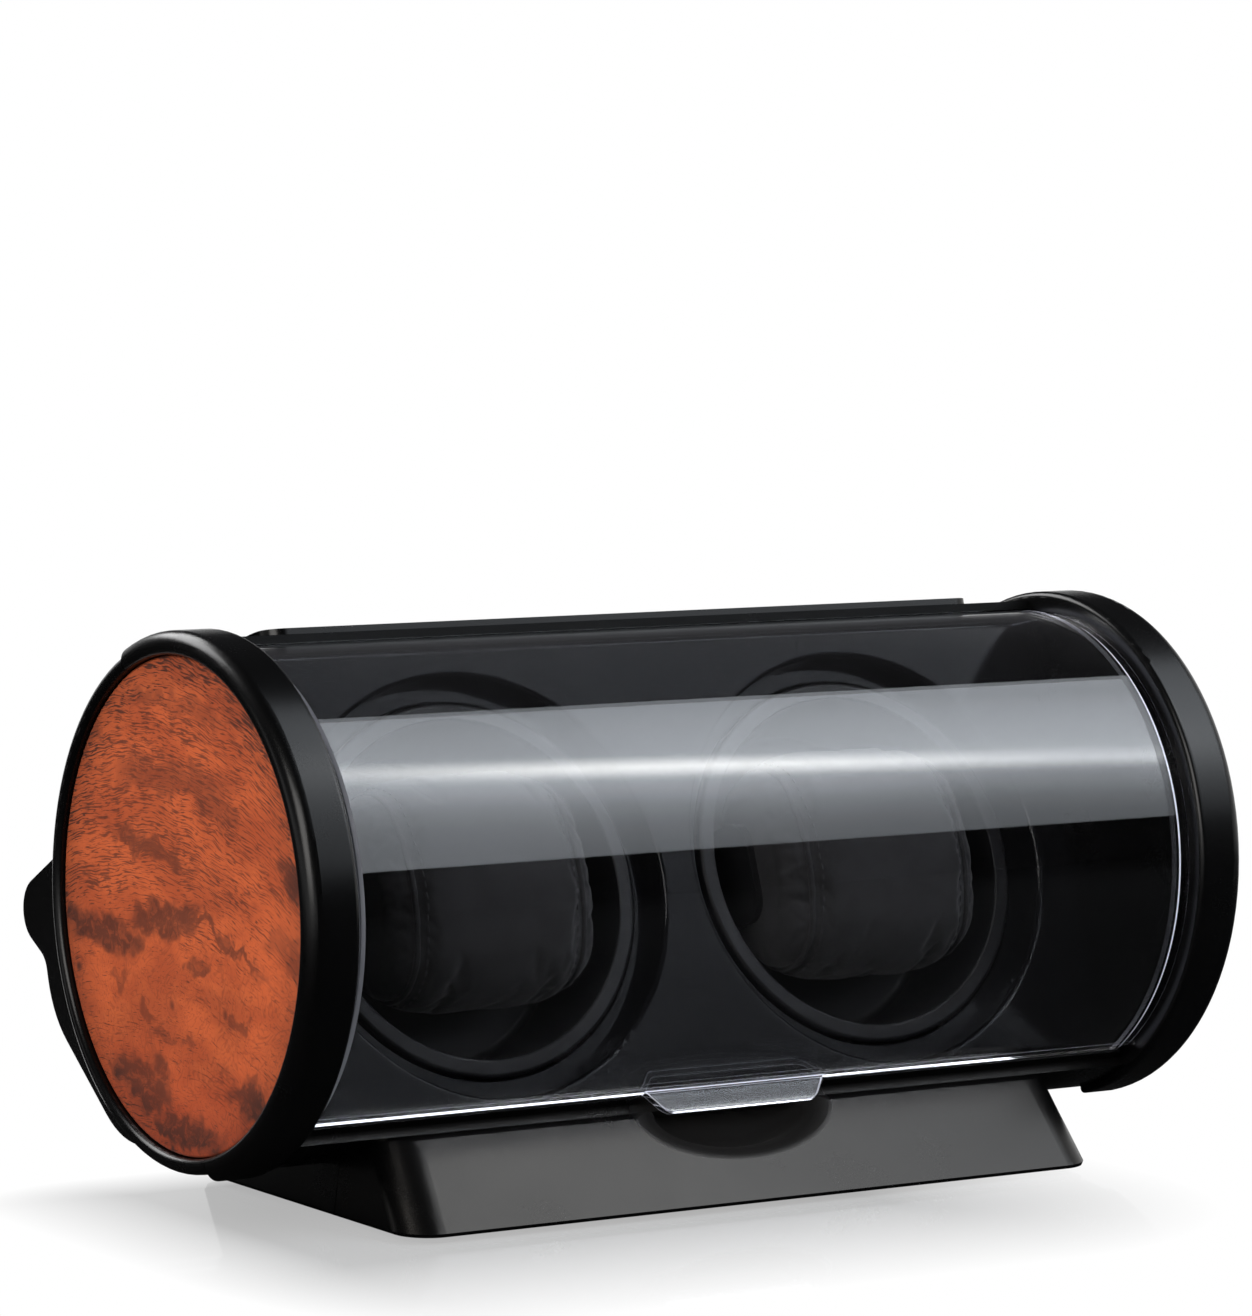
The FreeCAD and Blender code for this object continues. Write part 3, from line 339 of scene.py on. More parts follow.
def loose_object(name, data):
    """Object in the scene, for a mesh, a curve, a lamp or a camera."""
    holder = bpy.data.objects.new(name, data)
    bpy.context.scene.collection.objects.link(holder)
    return holder


def mesh_from(points, faces, name):
    mesh = bpy.data.meshes.new(name)
    mesh.from_pydata([tuple(point) for point in points], [], faces)
    shape = bmesh.new()
    shape.from_mesh(mesh)
    bmesh.ops.remove_doubles(shape, verts=shape.verts, dist=1e-7)
    bmesh.ops.recalc_face_normals(shape, faces=shape.faces)
    shape.to_mesh(mesh)
    shape.free()
    return mesh


def smooth(mesh, angle=35.0):
    mesh.polygons.foreach_set("use_smooth", [True] * len(mesh.polygons))
    mesh.set_sharp_from_angle(angle=math.radians(angle))
    return mesh


def from_front(x, radius, angle):
    """Point on the cylinder, at an angle up from the front."""
    turn = math.radians(angle)
    return AXIS + Vector((x, -radius * math.cos(turn), radius * math.sin(turn)))


def rounded_outline(corners, steps=6):
    """Closed outline through corners (a, b, radius), with arcs of short steps."""
    outline = []
    count = len(corners)
    for index, (a, b, radius) in enumerate(corners):
        here = Vector((a, b))
        if not radius:
            outline.append(here)
            continue
        back = (Vector(corners[index - 1][:2]) - here).normalized()
        ahead = (Vector(corners[(index + 1) % count][:2]) - here).normalized()
        half = back.angle(ahead) / 2
        centre = here + (back + ahead).normalized() * (radius / math.sin(half))
        first = here + back * (radius / math.tan(half)) - centre
        last = here + ahead * (radius / math.tan(half)) - centre
        sweep = first.angle_signed(last)
        for part in range(steps + 1):
            turn = Matrix.Rotation(-sweep * part / steps, 2)
            outline.append(centre + turn @ first)
    return outline


def prism_mesh(name, outline, place, low, high):
    """Closed prism: an outline placed at two heights."""
    count = len(outline)
    points = [place(point, height) for height in (low, high) for point in outline]
    faces = [list(range(count))[::-1], list(range(count, 2 * count))]
    faces += [[i, (i + 1) % count, count + (i + 1) % count, count + i] for i in range(count)]
    return mesh_from(points, faces, name)


# Pieces

# The lid's steps round the axis, the angles (in degrees) from which its edges are sharp and are rounded, and its looks.
LID_STEPS = 156
LID_SMOOTH = 15.0
LID_SHARP = 40.0
LID_IOR = 1.49
LID_SHADE = (0.96, 0.96, 0.97, 1)
SMEAR_ROUGHNESS = (0.012, 0.04)
# How far the painted edge highlight is cut back (painted shade) at the left end and round the tab, and how bright a
# cut-back edge is.
END_HIGHLIGHT_CUT = 0.85
TAB_HIGHLIGHT_CUT = 0.6
CUT_HIGHLIGHT_LEVEL = 0.05


def lid_mesh(sizes):
    """Clear shell turned about the axis, with a stepped flange at each end."""
    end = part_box("clear_lid")[1].x
    inner = sizes.lid_radius - sizes.lid_wall
    flange = sizes.lid_radius - sizes.lid_step
    half, outer = sizes.lid_half, sizes.lid_radius
    right = [(end, inner), (end, flange), (half, flange), (half, outer - sizes.lid_chamfer / 2),
             (half - sizes.lid_chamfer, outer)]
    profile = right + [(-x, radius) for x, radius in reversed(right)]
    rows = []
    for index in range(LID_STEPS + 1):
        angle = sizes.lid_bottom + (sizes.lid_top - sizes.lid_bottom) * index / LID_STEPS
        rows.append([from_front(x, radius, angle) for x, radius in profile])
    count = len(profile)
    points = [point for row in rows for point in row]
    faces = [[row * count + i, row * count + (i + 1) % count, (row + 1) * count + (i + 1) % count,
              (row + 1) * count + i] for row in range(LID_STEPS) for i in range(count)]
    faces += [list(range(count)), list(range(LID_STEPS * count, (LID_STEPS + 1) * count))[::-1]]
    return mesh_from(points, faces, "lid_shell")


def tab_mesh(sizes):
    """Finger tab along the lid's lower edge, in the plane of that edge."""
    root = sizes.lid_radius - sizes.lid_wall / 2
    tip = sizes.lid_radius + sizes.tab_reach
    edge = from_front(0, root, sizes.lid_bottom)
    corners = [(-sizes.tab_root, root, 0), (sizes.tab_root, root, 0), (sizes.tab_tip, tip, sizes.tab_corner),
               (-sizes.tab_tip, tip, sizes.tab_corner)]
    out = from_front(0, 1, sizes.lid_bottom) - AXIS
    up = from_front(0, 1, sizes.lid_bottom + 90) - AXIS

    def place(point, height):
        return edge + Vector((point.x, 0, 0)) + out * (point.y - root) + up * height

    return prism_mesh("lid_tab", rounded_outline(corners), place, 0, sizes.tab_thick)


class WINDER_OT_lid(bpy.types.Operator):
    """Model the clear rolling lid with its finger tab"""
    bl_idname = "winder.lid"
    bl_label = "Clear lid"

    def execute(self, context):
        finishes, sizes = settings("finishes", "sizes")
        shell = loose_object("lid_holder", lid_mesh(sizes))
        tab = loose_object("tab_holder", tab_mesh(sizes))
        union = shell.modifiers.new("tab", "BOOLEAN")
        union.operation = "UNION"
        union.solver = "EXACT"
        union.object = tab
        mesh = settled(shell, "lid_joined")
        bpy.data.objects.remove(tab)
        clear, painted_edge_highlight = self.acrylic(finishes), self.paint_edge_highlight(finishes, sizes)
        mesh.materials.clear()
        mesh.materials.append(clear)
        mesh.materials.append(painted_edge_highlight)
        holder = loose_object("lid_holder", smooth(mesh, LID_SMOOTH))
        rounding = holder.modifiers.new("edges", "BEVEL")
        rounding.width = sizes.lid_edge
        rounding.segments = 2
        rounding.limit_method = "ANGLE"
        rounding.angle_limit = math.radians(LID_SHARP)
        rounding.harden_normals = True
        rounding.material = 1
        mesh = settled(holder, "lid_shell")
        # Faces of the outer rounded edges, which take the painted highlight.
        highlight_faces = self.outer_edges(mesh, sizes)
        new_piece("lid_shell", mesh, clear, "lid", ["clear_lid"])
        mesh.materials.append(painted_edge_highlight)
        mesh.polygons.foreach_set("material_index", highlight_faces)
        return {"FINISHED"}

    def acrylic(self, finishes):
        """Clear plastic with faint smears, which lets light through to what it covers."""
        material, tree, shader, place = new_material("clear_acrylic")
        smear = step(tree, noise(tree, place, 24.0, 3.0), 0.35, 0.75, *SMEAR_ROUGHNESS)
        plug(tree, shader, {"Base Color": rgba(finishes.clear), "Transmission Weight": 1.0, "IOR": LID_IOR,
                            "Roughness": smear})
        shadow = wire(tree, "ShaderNodeLightPath").outputs["Is Shadow Ray"]
        let_through = wire(tree, "ShaderNodeBsdfTransparent", {"Color": LID_SHADE}).outputs[0]
        show(tree, mix_shaders(tree, shadow, shader.outputs[0], let_through))
        return material

    def paint_edge_highlight(self, finishes, sizes):
        """Painted highlight on the lid's edges: near white, but for its left end and its tab, where the edge is painted
        dark as painted shade.
        """
        material = plastic("lid_edge_painted_highlight", finishes.edge, 0.30, 0.5, 1200.0, 0.004, 0.1, 0.08)
        tree = material.node_tree
        base = tree.nodes["Principled BSDF"].inputs["Base Color"]
        place = moved(tree, wire(tree, "ShaderNodeTexCoord").outputs["Object"], -AXIS)
        along = split(tree, place)["X"]
        out = vec(tree, "LENGTH", moved(tree, place, scale=(0, 1, 1)))
        face_end = sizes.lid_chamfer - sizes.lid_half
        end = step(tree, along, face_end, face_end + sizes.lid_chamfer, END_HIGHLIGHT_CUT, 0.0)
        tab = step(tree, out, sizes.lid_radius, sizes.lid_radius + sizes.tab_thick, 0.0, TAB_HIGHLIGHT_CUT)
        # Painted shade: the edge highlight is cut back to dark at the lid's left end and round its tab.
        highlight_cut = calc(tree, "MAXIMUM", end, tab)
        tree.links.new(mix(tree, highlight_cut, base.links[0].from_socket, rgba(finishes.edge, CUT_HIGHLIGHT_LEVEL)), base)
        return material

    def outer_edges(self, mesh, sizes):
        """1 for each face of a rounded edge on the lid's outside or its tab, which takes the painted highlight, or else
        0.
        """
        clear_of = sizes.lid_radius - sizes.lid_step - sizes.lid_edge
        marks = []
        for face in mesh.polygons:
            chamfer = sizes.lid_half - sizes.lid_chamfer < abs(face.center.x) <= sizes.lid_half
            outside = (face.center - AXIS).yz.length > clear_of
            marks.append(int(outside and (chamfer or face.material_index == 1)))
        return marks


SATIN_SPECULAR = 0.25
# The finger recess from the cylinder's axis, and where its matt ground ends, in shares of its half sizes.
RECESS_MIDDLE = Vector((0, -0.0345, -0.0505))
RECESS_HALF = (0.0266, 0.0150, 0.0126)
RECESS_EDGE = (1.12, 0.84)
# Below this height the gloss takes a warm tint: a painted warm reflection on the base.
BASE_TOP = 0.030
BASE_BLEND = 0.006
BASE_WARM_REFLECTION = (0.985, 0.935, 0.885, 1)


class WINDER_OT_housing(bpy.types.Operator):
    """Finish the moulded housing, its base and its feet"""
    bl_idname = "winder.housing"
    bl_label = "Housing"

    def execute(self, context):
        finishes, = settings("finishes")
        dress(plastic("satin_black", finishes.satin, finishes.satin_gloss, SATIN_SPECULAR), "rear_shell", "top_strip",
              *pairs("end_plate"))
        dress(self.front(finishes), "front_frame")
        dress(plastic("base_black", (0.016, 0.016, 0.017), 0.55, 0.3, 1500.0, 0.03), "base_plate")
        dress(plastic("foot_rubber", (0.020, 0.020, 0.020), 0.75, 0.3, 900.0, 0.05), "rubber_feet")
        return {"FINISHED"}

    def front(self, finishes):
        """Satin black that turns matt in the finger recess, with a painted warm reflection: a warm tint in the gloss on
        the base.
        """
        material = plastic("satin_front", finishes.satin, finishes.satin_gloss, SATIN_SPECULAR)
        tree = material.node_tree
        shader = tree.nodes["Principled BSDF"]
        place = wire(tree, "ShaderNodeTexCoord").outputs["Object"]
        inside = moved(tree, place, AXIS + RECESS_MIDDLE, scale=RECESS_HALF, kind="TEXTURE")
        matt = step(tree, vec(tree, "LENGTH", inside), *RECESS_EDGE)
        rough = calc(tree, "MAXIMUM", shader.inputs["Roughness"].links[0].from_socket, matt)
        # Painted warm reflection: below the base's top the gloss is tinted warm.
        low = step(tree, split(tree, place)["Z"], BASE_TOP, BASE_TOP - BASE_BLEND)
        tint = mix(tree, low, WHITE, BASE_WARM_REFLECTION)
        plug(tree, shader, {"Roughness": rough, "Specular Tint": tint})
        return material


# Clouds in the burl, on a disc of radius 1 seen from the left end: middle, half sizes, tilt and depth.
# The cloud at (0.03, -0.90) is painted shade along the disc's foot.
WOOD_CLOUDS = ((-0.27, 0.215, 0.36, 0.055, -0.20, 0.80), (-0.64, -0.165, 0.34, 0.085, -0.04, 1.0),
               (-0.12, -0.06, 0.34, 0.085, 0.10, 0.95), (0.38, -0.10, 0.36, 0.032, -0.31, 0.85),
               (0.90, 0.20, 0.13, 0.08, -0.3, 0.80), (-0.08, 0.50, 0.56, 0.080, 0.02, 0.50),
               (0.30, 0.42, 0.20, 0.07, -0.2, 0.45), (-0.05, 0.80, 0.45, 0.05, -0.05, 0.40),
               (-0.86, 0.62, 0.16, 0.12, 0.4, 0.45), (-0.30, -0.74, 0.26, 0.12, -0.1, 0.90),
               (0.03, -0.90, 0.34, 0.075, 0.0, 0.85), (0.58, -0.70, 0.18, 0.09, 0.1, 0.85),
               (0.50, -0.40, 0.11, 0.035, 0.0, 0.70), (0.16, -0.22, 0.11, 0.045, 0.2, 0.80),
               (-0.50, -0.33, 0.10, 0.035, 0.3, 0.60), (-0.28, -0.45, 0.09, 0.035, -0.3, 0.65),
               (-0.14, -0.53, 0.10, 0.028, 0.0, 0.60), (0.06, -0.53, 0.08, 0.028, 0.0, 0.60),
               (0.66, -0.62, 0.05, 0.025, 0.2, 0.55), (0.34, -0.62, 0.05, 0.025, 0.5, 0.50),
               (0.88, -0.10, 0.16, 0.09, -0.4, 0.45))
# The grain's arch: its middle and its bend. Then how dark the clouds, the painted shade at the disc's rim and the
# flecks are, and the radius of the ring round a knot.
GRAIN_MIDDLE = 0.25
GRAIN_ARCH = 0.20
CLOUD_DEPTH = 0.85
RIM_SHADE = 0.32
FLECK_DEPTH = 0.76
EYE_RING = 0.26


class WINDER_OT_wood(bpy.types.Operator):
    """Finish the wood discs in the end rings"""
    bl_idname = "winder.wood"
    bl_label = "Wood discs"

    def execute(self, context):
        finishes, sizes = settings("finishes", "sizes")
        material, tree, shader, place = new_material("burl_wood")
        scale = 1 / sizes.wood_radius
        flat = split(tree, moved(tree, place, -AXIS * scale, scale=(scale, scale, scale)))
        across = calc(tree, "MULTIPLY", flat["Y"], -1.0)
        up = flat["Z"]
        disc = wire(tree, "ShaderNodeCombineXYZ", {0: across, 1: up}).outputs[0]
        wavy = self.swayed(tree, disc, 2.3, (0.20, 0.12, 0))
        ragged = self.swayed(tree, wavy, 9.0, (0.32, 0.20, 0))
        off = calc(tree, "ADD", across, GRAIN_MIDDLE)
        arch = calc(tree, "MULTIPLY", calc(tree, "MULTIPLY", off, off), GRAIN_ARCH)
        grain = vec(tree, "ADD", wavy, wire(tree, "ShaderNodeCombineXYZ", {1: arch}).outputs[0])
        broad = noise(tree, moved(tree, wavy, scale=(1.0, 2.4, 1)), 1.9, 4.0, 0.6)
        upper = step(tree, up, -0.30, 0.20)
        clouds = self.clouds(tree, ragged)
        marks = calc(tree, "MAXIMUM", self.flecks(tree, grain, upper, clouds), self.eyes(tree, wavy, upper))
        dark = calc(tree, "MAXIMUM", marks, calc(tree, "MULTIPLY", clouds, CLOUD_DEPTH))
        # Painted shade: the disc darkens towards its rim.
        rim_shade = step(tree, vec(tree, "LENGTH", disc), 0.74, 1.03, 0.0, RIM_SHADE)
        dark = calc(tree, "ADD", dark, rim_shade, clamp=True)
        ground = mix(tree, step(tree, broad, 0.36, 0.62), rgba(finishes.wood_mid), rgba(finishes.wood_light))
        # Painted shade: the ground turns darker and redder towards the disc's foot.
        ground = mix(tree, step(tree, up, -0.45, -1.0, 0.0, 0.7), ground, rgba(finishes.wood_foot_shade))
        plug(tree, shader, {"Base Color": mix(tree, dark, ground, rgba(finishes.wood_figure_and_shade)),
                            "Roughness": step(tree, broad, 0.3, 0.7, 0.30, 0.42), "Normal": bump(tree, marks, 0.004),
                            "Specular IOR Level": 0.2, "Coat Weight": 0.06, "Coat Roughness": 0.15})
        dress(material, *pairs("wood_disc"))
        return {"FINISHED"}

    def swayed(self, tree, vector, scale, reach):
        """A place on the disc, moved about by noise."""
        drift = noise(tree, vector, scale, 3.0, 0.55, output="Color")
        sway = vec(tree, "SUBTRACT", drift, (0.5, 0.5, 0.5))
        return vec(tree, "MULTIPLY_ADD", sway, reach, vector)

    def clouds(self, tree, vector):
        """Dark clouds at their places, with ragged edges."""
        clouds = None
        for a, b, wide, high, tilt, depth in WOOD_CLOUDS:
            inside = moved(tree, vector, (a, b, 0), (0, 0, tilt), (wide, high, 1), "TEXTURE")
            spot = step(tree, vec(tree, "LENGTH", inside), 1.20, 0.62, 0.0, depth)
            clouds = spot if clouds is None else calc(tree, "MAXIMUM", clouds, spot)
        mottle = noise(tree, vector, 22.0, 3.0, 0.6)
        return calc(tree, "MULTIPLY", clouds, step(tree, mottle, 0.30, 0.55, 0.55, 1.0))

    def flecks(self, tree, grain, upper, clouds):
        """Short dark strokes along the grain: dense above, in bands, and sparse below."""
        bands = noise(tree, moved(tree, grain, scale=(1.1, 6.5, 1)), 1.0, 2.0, 0.5)
        strokes = noise(tree, moved(tree, grain, scale=(8.5, 140, 1)), 1.0, 2.0, 0.5)
        short = noise(tree, moved(tree, grain, (3.1, 1.7, 0), scale=(19, 150, 1)), 1.0, 1.0, 0.5)
        crowd = calc(tree, "MULTIPLY_ADD", bands, 0.34, calc(tree, "MULTIPLY_ADD", upper, 0.10, -0.27))
        crowd = calc(tree, "MULTIPLY_ADD", clouds, 0.05, crowd)
        drawn = step(tree, calc(tree, "ADD", strokes, crowd), 0.49, 0.63)
        brief = step(tree, calc(tree, "MULTIPLY_ADD", crowd, 0.6, short), 0.56, 0.66)
        return calc(tree, "MULTIPLY", calc(tree, "MAXIMUM", drawn, brief), FLECK_DEPTH)

    def eyes(self, tree, vector, upper):
        """Small knots with a ring round them, in the lower half, and faint curls."""
        cells = wire(tree, "ShaderNodeTexVoronoi", {"Vector": vector, "Scale": 5.2, "Randomness": 1.0})
        away = cells.outputs["Distance"]
        some = step(tree, wire(tree, "ShaderNodeSeparateColor", {0: cells.outputs["Color"]}).outputs[0], 0.42, 0.5)
        off_ring = calc(tree, "ABSOLUTE", calc(tree, "SUBTRACT", away, EYE_RING))
        ring = calc(tree, "SUBTRACT", 1.0, calc(tree, "MULTIPLY", off_ring, 30.0), clamp=True)
        knot = calc(tree, "MAXIMUM", step(tree, away, 0.19, 0.06, 0.0, 0.7), calc(tree, "MULTIPLY", ring, 0.30))
        swirl = noise(tree, vector, 3.6, 3.0, 0.55, 2.4)
        curl = step(tree, calc(tree, "SINE", calc(tree, "MULTIPLY", swirl, 70.0)), 0.55, 1.0, 0.0, 0.30)
        both = calc(tree, "MAXIMUM", calc(tree, "MULTIPLY", knot, some), curl)
        return calc(tree, "MULTIPLY", both, calc(tree, "SUBTRACT", 1.0, upper))


class WINDER_OT_inside(bpy.types.Operator):
    """Finish the inner panel, the cups and the cushion holders"""
    bl_idname = "winder.inside"
    bl_label = "Panel and cups"

    def execute(self, context):
        finishes, = settings("finishes")
        dress(plastic("panel_gloss", finishes.panel, 0.07, 0.12, 900.0, 0.0006, 0.04), "inner_panel")
        dress(plastic("cup_black", finishes.cup, 0.42, 0.2, 2200.0, 0.008), *pairs("winder_cup"),
              *pairs("cushion_holder"))
        return {"FINISHED"}


class WINDER_OT_drive(bpy.types.Operator):
    """Finish the belt drive, the carrier plate, the board and the inlet"""
    bl_idname = "winder.drive"
    bl_label = "Drive"

    def execute(self, context):
        dress(metal("plated_steel", (0.56, 0.57, 0.58), 0.28), "carrier_plate")
        dress(metal("screw_steel", (0.50, 0.50, 0.51), 0.22, (2500.0, 2500.0, 2500.0)), "panel_screws",
              "carrier_screws", "motor_screws", "base_screws")
        dress(metal("shaft_steel", (0.60, 0.60, 0.61), 0.16, (5000.0, 600.0, 600.0)), *pairs("drum_shaft"),
              *pairs("shaft_clip"))
        dress(metal("bush_brass", (0.72, 0.47, 0.17), 0.25, (2500.0, 900.0, 900.0)), *pairs("drum_bush"))
        dress(metal("motor_case", (0.42, 0.42, 0.43), 0.32, (900.0, 3000.0, 900.0)), *pairs("gear_motor"))
        dress(plastic("belt_rubber", (0.022, 0.021, 0.020), 0.62, 0.35, 1800.0, 0.02), *pairs("drive_belt"))
        dress(plastic("pulley_white", (0.72, 0.70, 0.65), 0.40, 0.45, 900.0, 0.006, 0.1, 0.05), *pairs("drum_pulley"),
              *pairs("motor_pulley"))
        dress(plastic("inlet_black", (0.018, 0.018, 0.018), 0.34, 0.4, 1500.0, 0.01), "dc_inlet", *pairs("mode_switch"))
        dress(self.board(), "circuit_board")
        return {"FINISHED"}

    def board(self):
        """Solder mask over copper tracks."""
        material, tree, shader, place = new_material("board_green")
        tracks = wire(tree, "ShaderNodeTexBrick", {"Vector": place, "Color1": BLACK, "Color2": BLACK, "Mortar": WHITE,
                                                   "Scale": 120.0, "Mortar Size": 0.035})
        base = mix(tree, tracks.outputs["Color"], (0.012, 0.090, 0.036, 1), (0.030, 0.170, 0.070, 1))
        plug(tree, shader, {"Base Color": base, "Normal": bump(tree, tracks.outputs["Fac"], 0.02),
                            "Roughness": step(tree, noise(tree, place, 300.0), 0.3, 0.7, 0.28, 0.40)})
        return material


SHAPE = ("Geometry", "Geometry")


def nodes_tree(name, *inputs):
    """Geometry node tree with named inputs; returns it with its input sockets and its output node."""
    return new_tree(name, "Geometry", [SHAPE, *inputs], [SHAPE])


def close_tree(tree, sink, geometry, material):
    real = wire(tree, "GeometryNodeRealizeInstances", {0: geometry})
    painted = wire(tree, "GeometryNodeSetMaterial", {0: real.outputs[0], "Material": material})
    tree.links.new(painted.outputs[0], sink.inputs[0])


def cylinder(tree, sides, radius, height, foot):
    """Upright cylinder whose foot is at a height."""
    made = wire(tree, "GeometryNodeMeshCylinder", {"Vertices": sides, "Radius": radius, "Depth": height})
    middle = wire(tree, "ShaderNodeCombineXYZ", {2: calc(tree, "MULTIPLY_ADD", height, 0.5, foot)})
    return wire(tree, "GeometryNodeTransform", {0: made.outputs[0], "Translation": middle.outputs[0]}).outputs[0]


def set_out(tree, points, shape, **values):
    """A shape on each of the points."""
    inputs = {"Points": points, "Instance": shape, **values}
    return wire(tree, "GeometryNodeInstanceOnPoints", inputs).outputs[0]


def together(tree, *shapes):
    whole = tree.nodes.new("GeometryNodeJoinGeometry")
    for shape in shapes:
        tree.links.new(shape, whole.inputs[0])
    return whole.outputs[0]


def run_tree(holder, tree, values, name):
    """Runs a tree on an object and returns the plain mesh that it makes."""
    modifier = holder.modifiers.new(name, "NODES")
    modifier.node_group = tree
    for item in tree.interface.items_tree:
        if item.in_out == "INPUT" and item.name in values:
            modifier[item.identifier] = values[item.name]
    return settled(holder, name)


def stitch_tree(material):
    """Stitches along a curve: a rounded thread at every step, laid along the seam."""
    tree, inputs, sink = nodes_tree("seam_stitches", *floats("Spacing", "Length", "Thread"))
    points = wire(tree, "GeometryNodeCurveToPoints", {0: inputs["Geometry"], "Length": inputs["Spacing"]},
                  mode="LENGTH").outputs
    thread = wire(tree, "GeometryNodeMeshUVSphere", {"Segments": 8, "Rings": 6, "Radius": 1.0})
    size = wire(tree, "ShaderNodeCombineXYZ", {0: inputs["Thread"], 1: inputs["Thread"],
                                               2: calc(tree, "MULTIPLY", inputs["Length"], 0.5)})
    laid = set_out(tree, points[0], thread.outputs[0], Rotation=points["Rotation"], Scale=size.outputs[0])
    close_tree(tree, sink, laid, material)
    return tree


def screw_tree(material):
    """Screws at points: a flat head with a cross recess, and a plain shank upwards."""
    tree, inputs, sink = nodes_tree("base_screws", *floats("Head Radius", "Head Height", "Shank Radius", "Shank Length",
                                                           "Recess Width"))
    high, wide = inputs["Head Height"], inputs["Recess Width"]
    head = cylinder(tree, 40, inputs["Head Radius"], high, 0.0)
    arm = calc(tree, "MULTIPLY", inputs["Head Radius"], 1.25)
    cut = wire(tree, "GeometryNodeMeshBoolean", {"Mesh 1": head}, operation="DIFFERENCE", solver="EXACT")
    for first, second in ((arm, wide), (wide, arm)):
        box = wire(tree, "ShaderNodeCombineXYZ", {0: first, 1: second, 2: high})
        bar = wire(tree, "GeometryNodeMeshCube", {"Size": box.outputs[0]})
        tree.links.new(bar.outputs[0], cut.inputs["Mesh 2"])
    shank = cylinder(tree, 24, inputs["Shank Radius"], inputs["Shank Length"], high)
    whole = together(tree, cut.outputs[0], shank)
    close_tree(tree, sink, set_out(tree, inputs["Geometry"], whole), material)
    return tree


def flute_tree(material):
    """Ribs round a knob's cap, which comes in as the geometry."""
    tree, inputs, sink = nodes_tree("knob_flutes", ("Flutes", "Int"), *floats("Ring Radius", "Rib Radius", "Rib Height",
                                                                              "Foot"))
    ring = wire(tree, "GeometryNodeMeshCircle", {"Vertices": inputs["Flutes"], "Radius": inputs["Ring Radius"]})
    rib = cylinder(tree, 10, inputs["Rib Radius"], inputs["Rib Height"], inputs["Foot"])
    whole = together(tree, set_out(tree, ring.outputs[0], rib), inputs["Geometry"])
    close_tree(tree, sink, whole, material)
    return tree


# Radius and height of a screw's head and shank, and the width of its cross recess.
SCREW_HEAD = (2.8 * MM, 1.6 * MM)
SCREW_SHANK = (1.4 * MM, 9.0 * MM)
SCREW_RECESS = 0.7 * MM


class WINDER_OT_screws(bpy.types.Operator):
    """Model the base screws with cross recesses"""
    bl_idname = "winder.screws"
    bl_label = "Base screws"

    def execute(self, context):
        low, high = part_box("base_screws")
        inset = SCREW_HEAD[0]
        spots = [(x, y, low.z) for x in (low.x + inset, high.x - inset) for y in (low.y + inset, high.y - inset)]
        mesh = bpy.data.meshes.new("screw_spots")
        mesh.from_pydata(spots, [], [])
        material = bpy.data.materials["screw_steel"]
        made = run_tree(loose_object("screw_spots", mesh), screw_tree(material),
                        {"Head Radius": SCREW_HEAD[0], "Head Height": SCREW_HEAD[1], "Shank Radius": SCREW_SHANK[0],
                         "Shank Length": SCREW_SHANK[1], "Recess Width": SCREW_RECESS}, "cross_screws")
        new_piece("cross_screws", smooth(made), material, "housing", ["base_screws"])
        return {"FINISHED"}


# A knob stands off the shell by the gap; its cap is rounded in an arc of so many degrees a step.
KNOB_GAP = 0.5 * MM
KNOB_ROUND = 0.9 * MM
KNOB_POINTER = 1.1 * MM
KNOB_ARC = 15
KNOB_STEPS = 72
RIB_RADIUS = 0.42 * MM
RIB_FOOT = KNOB_GAP + 0.2 * KNOB_ROUND
STEM_RADIUS = 2.0 * MM
STEM_DEEP = 5.7 * MM


def turned_mesh(name, profile, steps):
    """Closed shape from a profile (radius, height) that starts and ends on the axis, turned about Z."""
    rows = profile[1:-1]
    points = [(0, 0, profile[0][1])]
    for radius, height in rows:
        for part in range(steps):
            turn = 2 * math.pi * part / steps
            points.append((radius * math.cos(turn), radius * math.sin(turn), height))
    points.append((0, 0, profile[-1][1]))
    last = len(points) - 1
    faces = [[0, 1 + (i + 1) % steps, 1 + i] for i in range(steps)]
    for row in range(len(rows) - 1):
        first = 1 + row * steps
        faces += [[first + i, first + (i + 1) % steps, first + steps + (i + 1) % steps, first + steps + i]
                  for i in range(steps)]
    first = 1 + (len(rows) - 1) * steps
    faces += [[first + i, first + (i + 1) % steps, last] for i in range(steps)]
    return mesh_from(points, faces, name)


